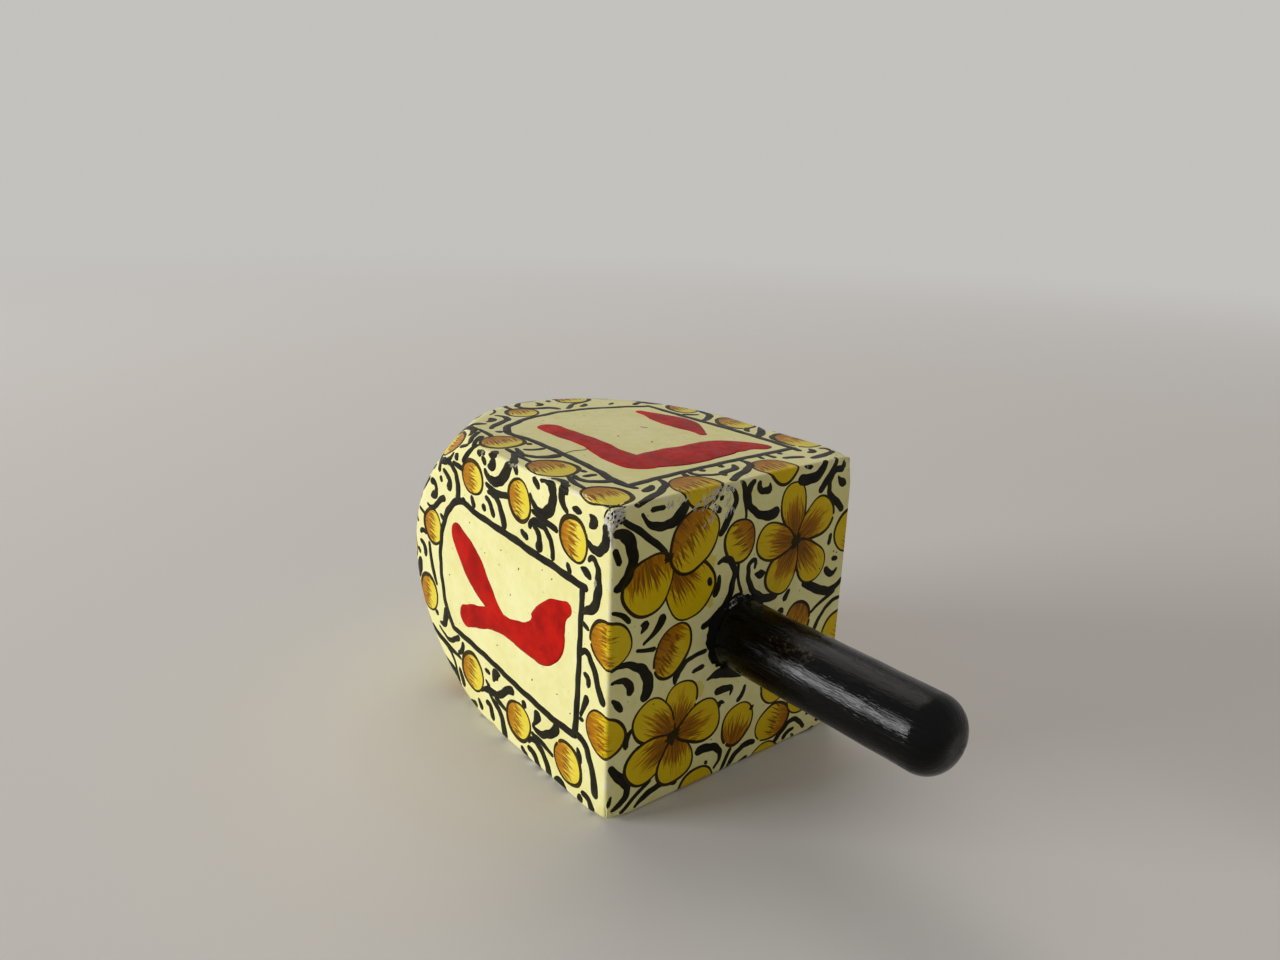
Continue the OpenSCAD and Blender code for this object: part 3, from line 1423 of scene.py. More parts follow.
class Letter(Enum):
    """The four marks of the game, one on each side, in plain brush strokes. Tops point to the stem."""

    GIMEL = "gimel"
    HEI = "hei"
    SHIN = "shin"
    NUN = "nun"

    def strokes(self) -> list[Stroke]:
        """Give the mark's brush strokes.

        Returns:
            Strokes in a side's drawing.
        """
        shapes: dict[Letter, list[Stroke]] = {
            Letter.GIMEL: [
                [(-10.2, 6.6, 2.6), (-13.4, 4.0, 6.4), (-16.2, -0.2, 9.6), (-20.6, -3.0, 6.6),
                 (-26.0, -3.6, 4.6)],
                [(-19.4, -2.6, 6.0), (-25.0, -3.5, 4.6), (-31.0, -3.9, 4.0), (-37.0, -5.4, 4.4),
                 (-42.4, -7.2, 4.4)],
                [(-29.2, -3.4, 3.2), (-34.2, -0.2, 5.4), (-39.6, 4.0, 7.4), (-44.6, 7.8, 5.0)],
            ],
            Letter.HEI: [
                [(-11.6, 15.6, 3.8), (-14.4, 12.0, 7.2), (-15.0, 4.0, 9.4), (-15.2, -4.0, 9.4),
                 (-15.8, -8.4, 7.6)],
                [(-14.2, -8.0, 8.0), (-20.0, -8.8, 6.4), (-28.0, -7.8, 5.0), (-36.0, -8.0, 5.0),
                 (-42.0, -8.0, 4.6)],
                [(-23.2, 12.2, 1.8), (-29.0, 13.6, 5.6), (-36.0, 13.8, 5.8), (-42.4, 13.2, 2.2)],
            ],
            Letter.SHIN: [
                [(-12.0, 11.2, 5.0), (-22.0, 11.4, 4.8), (-32.6, 9.4, 5.2), (-39.4, 3.6, 5.8),
                 (-40.0, -3.6, 5.8), (-33.6, -9.4, 5.2), (-22.0, -10.8, 4.8), (-11.8, -10.8, 5.2)],
                [(-15.0, 0.6, 4.8), (-24.0, 0.4, 4.2), (-33.0, 0.2, 4.0), (-39.0, 0.0, 4.4)],
            ],
            Letter.NUN: [
                [(-11.2, 6.2, 2.8), (-14.0, 3.4, 5.8), (-17.0, -1.6, 7.0), (-24.0, -4.0, 5.0),
                 (-32.0, -4.0, 5.0), (-38.0, -2.4, 5.8)],
                [(-38.4, -3.8, 5.6), (-39.4, 2.0, 6.0), (-39.0, 9.4, 5.2)],
            ],
        }
        return shapes[self]


# Buds of the left and back sides
SIDE_BUDS = [
    Petal((-38.4, 19.3), 6.8, 5.7), Petal((-23.8, 19.5), 6.3, 6.6), Petal((-9.1, 17.8), 6.9, 6.6),
    Petal((-39.7, -17.0), 7.3, 6.8), Petal((-24.4, -19.3), 7.3, 6.7),
    Petal((-10.0, -19.6), 7.4, 6.7), Petal((-53.3, 6.2), 6.3, 6.6), Petal((-55.7, -7.5), 6.7, 6.6),
]

# Frame of the panel on the left and back sides. Each place of a stroke has its width.
SIDE_FRAME: list[Stroke] = [
    [(-5.5, 11.3, 0.9), (-10.0, 11.5, 1.0), (-15.0, 11.9, 0.95), (-20.0, 12.1, 1.0),
     (-24.0, 12.5, 1.0), (-30.0, 12.8, 0.95), (-38.0, 13.3, 0.9), (-43.7, 13.6, 0.95),
     (-46.5, 11.6, 1.0), (-49.0, 8.0, 1.0), (-50.3, 4.0, 0.95), (-50.6, 0.0, 0.95),
     (-50.0, -4.0, 0.95), (-48.8, -8.0, 1.0), (-46.3, -11.2, 1.0)],
    [(-46.6, -11.2, 0.8), (-43.0, -11.4, 0.9), (-38.0, -11.8, 0.9), (-32.0, -12.3, 0.9),
     (-25.0, -13.1, 0.9), (-20.0, -13.5, 0.95), (-12.0, -13.9, 1.0), (-8.2, -13.7, 1.0)],
    [(-8.2, -14.0, 1.1), (-7.9, -11.0, 1.1), (-7.6, -6.0, 1.0), (-7.3, 0.0, 0.95),
     (-7.0, 6.0, 0.95), (-6.6, 11.2, 1.0)],
]

# Scrolls, hooks and dots round the panel on the left and back sides
SIDE_SCROLLS: list[Stroke] = [
    [(-6.0, 19.0, 0.5), (-5.2, 18.2, 0.8), (-3.8, 17.8, 1.0), (-2.2, 18.6, 1.2), (-1.3, 20.2, 1.3),
     (-1.8, 22.0, 1.0)],
    [(-5.2, 22.6, 0.5), (-4.2, 22.0, 1.4), (-5.2, 20.9, 0.7)],
    [(-9.4, 22.4, 0.5), (-8.2, 22.4, 0.9), (-7.2, 22.3, 0.5)],
    [(-12.0, 26.0, 1.2), (-12.1, 24.0, 1.2), (-11.8, 22.3, 1.1), (-10.6, 21.3, 0.7)],
    [(-17.8, 24.3, 0.6), (-16.0, 24.5, 0.8), (-15.0, 23.8, 1.2), (-14.6, 21.6, 1.5),
     (-16.0, 19.9, 1.4), (-18.0, 19.2, 1.1), (-19.6, 20.0, 0.9), (-20.7, 21.4, 0.6)],
    [(-19.7, 24.0, 1.0), (-18.2, 23.0, 0.9)],
    [(-20.2, 18.8, 0.6), (-17.5, 18.3, 0.8), (-13.2, 17.8, 0.8)],
    [(-20.9, 16.0, 0.9), (-20.0, 17.0, 0.9), (-18.0, 17.3, 0.9), (-15.8, 16.4, 0.9),
     (-14.6, 14.8, 0.9), (-14.5, 12.8, 0.9)],
    [(-19.8, 16.5, 0.6), (-18.6, 16.0, 1.0), (-18.1, 14.8, 1.1), (-18.3, 13.1, 1.5)],
    [(-23.2, 14.7, 0.8), (-21.4, 14.0, 1.0)],
    [(-34.0, 19.4, 0.7), (-32.0, 18.9, 0.9), (-29.5, 18.8, 0.9), (-26.8, 19.3, 0.8)],
    [(-33.5, 18.2, 0.6), (-32.0, 18.2, 0.9), (-30.5, 17.7, 1.0), (-29.2, 16.0, 1.2),
     (-28.2, 13.6, 1.3)],
    [(-26.0, 26.0, 1.2), (-26.8, 24.2, 1.4), (-28.5, 22.0, 1.5), (-30.0, 20.8, 1.2),
     (-32.0, 20.5, 1.2), (-33.0, 20.7, 1.0), (-34.3, 21.6, 0.9)],
    [(-32.9, 24.9, 0.6), (-31.6, 24.0, 1.2), (-32.2, 22.8, 1.3), (-33.2, 22.5, 0.6)],
    [(-10.6, 13.5, 0.8), (-9.8, 12.2, 0.9)],
    [(-7.1, 14.1, 0.5), (-6.0, 13.9, 1.1), (-4.8, 13.2, 0.8)],
    [(-5.3, 15.7, 0.6), (-4.4, 16.4, 0.7), (-3.4, 15.8, 0.8), (-3.0, 13.5, 1.2), (-3.1, 11.0, 1.3),
     (-4.0, 9.0, 1.2), (-5.5, 8.0, 0.9), (-6.5, 7.3, 0.7)],
    [(-45.0, 20.3, 0.6), (-43.5, 20.1, 0.8), (-41.5, 19.8, 0.7)],
    [(-49.5, 19.6, 0.5), (-47.0, 20.0, 0.8), (-45.0, 19.2, 0.9), (-43.7, 17.5, 1.1),
     (-43.4, 15.5, 1.2), (-43.8, 13.8, 1.2)],
    [(-48.6, 18.0, 0.7), (-47.2, 17.4, 0.9), (-46.3, 16.2, 1.2), (-47.0, 15.1, 1.3)],
    [(-49.8, 16.2, 1.0), (-49.2, 16.0, 1.0)],
    [(-50.2, 19.4, 1.1), (-50.0, 17.5, 1.0)],
    [(-41.6, 21.2, 0.7), (-40.4, 22.6, 0.9), (-39.2, 24.0, 1.0), (-38.0, 26.0, 0.9)],
    [(-44.1, 21.9, 1.3), (-43.5, 21.3, 1.3)],
    [(-36.6, 24.5, 1.1), (-35.6, 23.9, 1.1)],
    [(-35.0, 23.5, 0.9), (-33.9, 22.9, 1.0)],
    [(-34.2, 17.0, 0.7), (-33.0, 16.6, 0.9), (-32.2, 15.6, 1.0), (-31.6, 14.5, 1.0)],
    [(-35.2, 15.2, 1.0), (-34.3, 14.9, 1.0)],
    [(-38.8, 15.9, 0.8), (-38.0, 14.3, 1.1)],
    [(-41.9, 14.5, 1.1), (-41.2, 14.0, 1.2)],
    [(-53.5, 14.9, 1.1), (-51.8, 14.4, 0.9), (-51.6, 13.4, 0.9), (-52.8, 12.2, 1.1),
     (-53.6, 11.9, 0.6)],
    [(-48.3, 12.8, 0.9), (-50.0, 12.2, 0.9), (-51.8, 10.6, 0.8), (-53.3, 9.8, 0.7),
     (-55.2, 10.0, 0.5)],
    [(-50.2, 9.3, 0.7), (-48.8, 8.7, 0.9)],
    [(-6.5, 5.7, 0.7), (-5.0, 5.2, 0.6)],
    [(-6.9, 0.5, 0.6), (-5.6, 1.4, 0.9), (-4.2, 0.2, 1.0), (-2.6, -2.8, 1.1), (-1.2, -5.2, 1.2)],
    [(-6.0, -2.3, 0.7), (-5.2, -2.6, 0.9), (-5.0, -4.0, 0.8)],
    [(-5.2, -5.8, 1.0), (-5.8, -7.5, 0.8), (-6.8, -9.6, 0.6)],
    [(-7.0, -10.2, 0.6), (-6.0, -10.1, 0.6)],
    [(-55.0, 2.6, 0.8), (-54.3, -0.5, 0.9), (-53.2, -3.5, 0.9), (-52.3, -4.9, 0.6)],
    [(-58.5, 2.0, 0.7), (-57.2, 1.4, 1.0), (-56.5, -0.5, 1.0)],
    [(-58.6, 8.4, 0.5), (-56.2, 7.6, 0.6)],
    [(-58.4, 3.6, 0.7), (-57.2, 4.2, 0.7), (-56.0, 4.0, 0.6)],
    [(-59.6, 0.1, 0.6), (-58.7, -0.6, 0.7)],
    [(-58.6, -1.8, 1.0), (-59.2, -3.4, 1.6), (-59.8, -5.6, 1.1)],
    [(-7.5, -13.2, 1.0), (-5.8, -13.8, 1.1), (-4.4, -15.7, 1.1), (-3.3, -18.3, 1.2),
     (-2.7, -21.5, 1.3)],
    [(-32.0, -18.6, 0.8), (-30.0, -18.9, 0.8), (-28.3, -19.2, 0.6)],
    [(-20.3, -19.5, 0.7), (-17.0, -19.9, 0.8), (-14.0, -20.5, 0.6)],
    [(-26.0, -14.5, 1.2), (-28.0, -15.4, 1.1), (-30.0, -17.0, 1.0), (-32.0, -17.9, 1.0),
     (-33.5, -18.0, 1.1), (-35.0, -18.4, 0.9), (-36.8, -19.5, 0.5)],
    [(-35.1, -16.6, 0.5), (-33.8, -17.4, 0.8)],
    [(-12.9, -14.6, 1.5), (-14.0, -16.2, 1.2), (-16.0, -17.6, 1.0), (-18.2, -18.4, 0.9),
     (-20.0, -18.2, 0.6)],
    [(-18.4, -15.2, 1.8), (-19.0, -16.5, 1.1), (-20.1, -18.0, 0.5)],
    [(-23.0, -15.2, 1.2), (-22.2, -15.6, 1.1)],
    [(-21.5, -21.6, 0.7), (-20.0, -20.6, 0.8), (-18.3, -20.9, 1.0), (-16.3, -22.3, 1.1),
     (-15.0, -25.0, 1.2)],
    [(-21.4, -22.8, 0.8), (-20.0, -22.9, 1.0), (-18.6, -24.3, 1.1), (-18.0, -25.3, 1.1)],
    [(-23.4, -23.7, 0.8), (-22.0, -24.8, 0.9)],
    [(-34.0, -18.6, 0.6), (-32.3, -19.6, 0.9), (-30.3, -20.8, 1.1), (-29.2, -22.8, 1.3),
     (-28.8, -24.8, 1.4)],
    [(-35.0, -20.9, 0.8), (-34.0, -20.9, 0.9), (-33.2, -21.9, 1.1), (-32.8, -23.2, 1.2)],
    [(-37.7, -21.5, 0.7), (-36.5, -22.9, 1.0)],
    [(-13.6, -24.8, 0.8), (-12.0, -24.2, 1.3), (-10.3, -25.0, 1.0)],
    [(-40.8, -23.6, 0.8), (-38.5, -23.2, 1.2)],
    [(-7.0, -24.2, 1.1), (-6.1, -23.8, 1.2)],
    [(-6.1, -22.7, 0.8), (-4.9, -22.7, 0.9), (-3.9, -23.7, 1.0), (-3.5, -25.0, 1.2)],
    [(-7.4, -15.6, 0.7), (-6.8, -16.8, 1.0), (-6.5, -17.8, 0.7)],
    [(-30.2, -13.5, 0.5), (-31.5, -14.0, 1.6), (-32.6, -15.6, 0.6)],
    [(-35.2, -14.7, 0.7), (-33.7, -14.7, 0.7)],
    [(-49.0, -8.5, 1.4), (-49.4, -10.5, 1.3), (-50.2, -11.9, 1.0), (-51.6, -12.0, 0.5)],
    [(-44.4, -12.3, 0.9), (-46.0, -13.3, 0.8), (-47.8, -14.2, 0.7), (-49.8, -13.9, 0.5),
     (-52.0, -13.0, 0.4)],
    [(-42.9, -12.9, 0.9), (-43.5, -14.4, 0.9), (-44.8, -15.6, 0.6)],
    [(-55.0, -14.0, 0.8), (-51.0, -15.2, 0.9), (-47.0, -15.9, 0.8), (-43.8, -16.3, 0.5)],
    [(-49.0, -15.9, 0.6), (-47.0, -17.2, 0.6), (-45.5, -19.4, 0.6), (-44.7, -21.2, 0.7)],
    [(-44.6, -18.6, 0.8), (-43.5, -20.0, 1.0), (-42.9, -21.3, 1.0)],
    [(-53.3, -10.4, 0.8), (-52.3, -10.8, 0.8)],
]

# Buds of the upper side
TOP_BUDS = [
    Petal((-37.2, -20.0), 7.4, 7.4), Petal((-20.3, -21.2), 8.8, 7.4),
    Petal((-5.4, -22.2), 7.9, 7.0), Petal((-26.2, 22.7), 8.2, 6.2), Petal((-11.6, 23.4), 9.4, 6.8),
    Petal((-40.0, 21.8), 7.0, 5.0), Petal((-53.0, -6.3), 6.2, 6.0), Petal((-57.6, 8.2), 6.2, 6.6),
]

# Buds of the under side, kept clear of its edges
UNDER_BUDS = [
    replace(bud, at=(bud.at[0], max(-21.2, min(bud.at[1], 21.0))), width=min(bud.width, 6.4))
    for bud in TOP_BUDS
]

# Frame of the panel on the upper and under sides
TOP_FRAME: list[Stroke] = [
    [(-5.4, -16.6, 0.8), (-7.0, -16.9, 1.0), (-15.0, -16.3, 0.95), (-26.0, -15.5, 1.0),
     (-36.0, -15.3, 0.95), (-44.0, -14.9, 1.0), (-47.0, -11.0, 1.0), (-49.2, -4.0, 0.95),
     (-49.6, 3.0, 0.95), (-48.0, 10.0, 0.95), (-44.8, 17.6, 0.95)],
    [(-45.4, 17.5, 0.8), (-38.0, 17.9, 0.95), (-30.0, 18.3, 0.95), (-15.0, 19.1, 1.0),
     (-6.6, 18.8, 0.9)],
    [(-8.4, 19.4, 1.0), (-8.4, 10.0, 0.95), (-8.2, 0.0, 0.95), (-7.8, -8.0, 0.95),
     (-7.0, -16.8, 1.0)],
]

# Scrolls, hooks and dots round the panel on the upper and under sides
TOP_SCROLLS: list[Stroke] = [
    [(-33.0, -21.5, 0.7), (-29.0, -21.9, 0.8), (-24.8, -22.2, 0.6)],
    [(-32.6, -20.0, 0.5), (-30.5, -20.7, 0.8), (-27.5, -20.6, 0.9), (-25.9, -19.0, 1.2),
     (-25.4, -16.4, 1.4)],
    [(-30.0, -16.2, 0.7), (-30.2, -17.8, 0.8), (-31.2, -19.4, 0.7)],
    [(-34.2, -16.9, 0.8), (-33.2, -16.9, 0.8)],
    [(-30.0, -22.0, 0.8), (-27.5, -23.5, 0.9), (-25.2, -25.3, 1.0), (-24.4, -26.4, 1.0)],
    [(-32.8, -23.6, 0.8), (-32.0, -24.6, 1.3), (-30.8, -25.2, 0.8)],
    [(-36.0, -25.2, 0.8), (-34.4, -25.6, 0.9)],
    [(-15.6, -21.5, 0.6), (-12.5, -22.5, 0.8), (-9.4, -22.9, 0.6)],
    [(-15.5, -20.6, 0.6), (-13.0, -20.9, 0.9), (-11.2, -19.7, 1.0), (-10.1, -17.0, 1.2)],
    [(-17.0, -18.1, 0.7), (-15.8, -18.3, 0.7)],
    [(-13.9, -17.7, 0.9), (-14.2, -19.6, 0.9)],
    [(-16.0, -24.0, 0.6), (-14.4, -23.5, 0.9), (-12.6, -24.2, 0.9), (-10.8, -25.8, 1.0)],
    [(-16.2, -25.6, 0.8), (-14.8, -25.4, 1.1), (-13.8, -26.4, 0.9)],
    [(-7.6, -11.2, 0.7), (-5.4, -11.6, 0.8), (-3.4, -13.4, 0.9), (-1.7, -16.4, 1.0),
     (-0.5, -19.0, 1.0), (0.3, -20.8, 0.9)],
    [(-5.4, -13.9, 0.6), (-4.6, -14.7, 1.0), (-3.7, -16.6, 0.9)],
    [(-7.8, -4.7, 0.6), (-6.0, -4.9, 0.8), (-4.9, -3.6, 0.8), (-4.2, -1.4, 0.7)],
    [(-7.8, 6.3, 0.8), (-5.7, 6.1, 0.9), (-4.0, 4.2, 1.0), (-2.4, 0.8, 1.0), (-0.8, -2.2, 0.9)],
    [(-6.6, 3.6, 0.6), (-5.4, 2.8, 0.9), (-4.7, 0.6, 1.0), (-4.0, -1.0, 0.9), (-3.2, -1.4, 0.7)],
    [(-7.8, 1.7, 0.8), (-6.7, 1.1, 0.8)],
    [(-7.6, -2.6, 0.9), (-6.6, -2.7, 0.8)],
    [(-7.6, -6.2, 0.6), (-6.0, -6.6, 0.8)],
    [(-3.9, 16.6, 0.9), (-4.6, 14.8, 0.9), (-5.0, 13.2, 0.8)],
    [(-8.2, 14.9, 0.6), (-6.9, 14.6, 0.7)],
    [(-8.0, 12.0, 0.7), (-6.0, 12.3, 0.8)],
    [(-8.0, 10.3, 0.6), (-6.5, 10.0, 0.6)],
    [(-3.7, 23.8, 0.7), (-3.0, 20.8, 0.9), (-2.6, 18.4, 1.0), (-2.6, 17.2, 0.8)],
    [(-6.6, 21.0, 0.6), (-5.6, 20.7, 0.9), (-5.0, 19.3, 0.8)],
    [(-6.0, 22.8, 0.5), (-5.2, 23.6, 0.6), (-4.2, 23.5, 0.5)],
    [(-30.6, 18.8, 0.9), (-31.8, 21.2, 1.0), (-33.4, 22.8, 1.0), (-36.0, 23.4, 0.9),
     (-38.0, 24.8, 0.7)],
    [(-36.4, 19.0, 0.8), (-35.2, 20.2, 0.9), (-34.6, 21.2, 0.6)],
    [(-22.2, 22.2, 0.6), (-21.2, 20.8, 0.8), (-20.4, 20.4, 0.6)],
    [(-22.4, 25.8, 0.9), (-20.4, 23.6, 1.0), (-18.6, 21.8, 1.1), (-17.2, 19.4, 1.1)],
    [(-16.4, 23.4, 0.6), (-15.4, 21.2, 0.7), (-14.0, 20.2, 0.6)],
    [(-60.0, -6.0, 0.5), (-58.0, -6.5, 0.7), (-56.0, -6.6, 0.6)],
    [(-60.6, -2.2, 0.5), (-58.8, -3.6, 0.8), (-57.0, -4.4, 0.8), (-55.4, -3.6, 0.9),
     (-54.2, -1.4, 1.1), (-53.0, 0.8, 1.2), (-51.8, 1.3, 0.9)],
    [(-58.6, 0.4, 0.6), (-57.0, 0.4, 0.9), (-56.2, -0.8, 0.9)],
    [(-59.0, 3.4, 0.8), (-58.2, 2.9, 0.9)],
    [(-53.6, -11.6, 0.6), (-52.6, -10.9, 0.8), (-50.8, -10.9, 0.9), (-48.8, -12.8, 1.0),
     (-46.9, -15.9, 0.9), (-45.4, -17.2, 0.6)],
    [(-52.2, -13.3, 0.9), (-50.8, -13.9, 1.1), (-50.0, -15.3, 0.7)],
    [(-49.0, -16.2, 0.7), (-49.8, -17.4, 1.2), (-50.0, -18.8, 0.9)],
    [(-42.9, -16.6, 1.2), (-43.4, -17.4, 0.8)],
    [(-46.6, -19.2, 0.6), (-43.6, -19.2, 0.7), (-41.0, -19.7, 0.7)],
    [(-44.8, -19.8, 0.6), (-43.2, -22.0, 0.9), (-41.2, -24.4, 1.0)],
    [(-42.0, -20.9, 0.8), (-40.6, -22.8, 0.9), (-38.6, -25.2, 0.9)],
    [(-58.0, -9.4, 0.3), (-56.0, -10.4, 0.35), (-54.4, -12.2, 0.3)],
    [(-55.4, 11.0, 0.5), (-54.4, 8.8, 0.6), (-53.8, 5.6, 0.7), (-52.4, 4.2, 0.8),
     (-51.4, 2.8, 0.7)],
    [(-53.0, 8.0, 0.6), (-52.0, 7.2, 0.9), (-51.4, 6.0, 0.7)],
    [(-47.4, 15.8, 0.9), (-48.2, 18.4, 0.8), (-47.4, 20.4, 0.6)],
    [(-50.8, 13.0, 0.6), (-50.0, 11.8, 0.7)],
]

# Blossoms of the stem face
STEM_PETALS = [
    Petal((-10.6, 10.3), 11.0, 8.8, -55, None, 0.35, 0.6, 0.3, 0),
    Petal((-18.0, 12.3), 9.6, 8.6, -128, -75, 0.1, 0.5, 0.14, 1),
    Petal((-9.8, 17.2), 10.4, 8.5, 58, -45, 0.0, 0.5, 0.08, 2),
    *blossom((12.3, 12.6), 0.8, [
        (11.2, 18.2, 8.6, 5.4), (16.6, 15.2, 8.8, 6.0), (15.7, 8.4, 8.4, 6.0),
        (9.6, 8.2, 8.6, 6.2), (7.4, 13.4, 8.2, 5.9),
    ]),
    *blossom((-11.8, -14.4), 0.7, [
        (-11.0, -9.6, 8.4, 6.2), (-16.2, -10.6, 8.2, 6.7), (-17.0, -16.8, 9.0, 6.5),
        (-11.6, -18.8, 7.8, 6.9), (-7.0, -13.9, 8.8, 7.0),
    ]),
    *blossom((15.0, -11.5), 0.7, [
        (10.6, -12.7, 7.6, 5.8), (16.3, -16.1, 7.8, 6.0), (19.4, -12.3, 7.4, 5.8),
        (16.2, -8.4, 6.2, 5.4), (12.4, -8.4, 6.6, 5.4),
    ]),
]

# Dark hearts of the blossoms: middle, half length and half width
STEM_HEARTS = [
    (-14.6, 15.7, 1.0, 0.8), (12.1, 12.4, 1.5, 1.1), (-12.3, -14.5, 1.7, 1.3),
    (15.0, -11.5, 1.3, 1.0),
]

# Buds of the stem face
STEM_BUDS = [
    Petal((-0.4, 15.1), 7.0, 6.4, 110, 205, 0.0, 0.5),
    Petal((-13.1, 0.4), 8.8, 6.6, 60, -32, 0.0, 0.55),
    Petal((1.6, -17.2), 7.6, 6.6, 70, 75, 0.1, 0.5),
    Petal((10.0, -19.7), 8.2, 6.2, 15, 160, 0.0, 0.4),
    Petal((14.2, -2.4), 7.2, 6.0, 95, 250, 0.0, 0.6),
]

# Buds that fold over the edges of the stem face
EDGE_BUDS = [
    Petal((-25.2, 4.3), 8.8, 7.2, 178, 8, 0.0, 0.42),
    Petal((-25.9, -10.4), 8.8, 7.0, 175, 8, 0.0, 0.42),
    Petal((8.4, 26.9), 8.6, 7.0, 92, -88, 0.0, 0.46),
    Petal((-8.3, 26.5), 9.2, 8.2, 84, -80, 0.0, 0.46),
    Petal((25.6, 11.7), 8.2, 7.4, 0, 150, 0.0, 0.44),
    Petal((25.4, -6.5), 9.2, 7.4, 4, 160, 0.0, 0.44),
    Petal((-7.0, -26.2), 8.2, 7.4, 85, 90, 0.0, 0.46),
    Petal((8.6, -27.0), 7.6, 7.2, 95, 85, 0.0, 0.46),
]

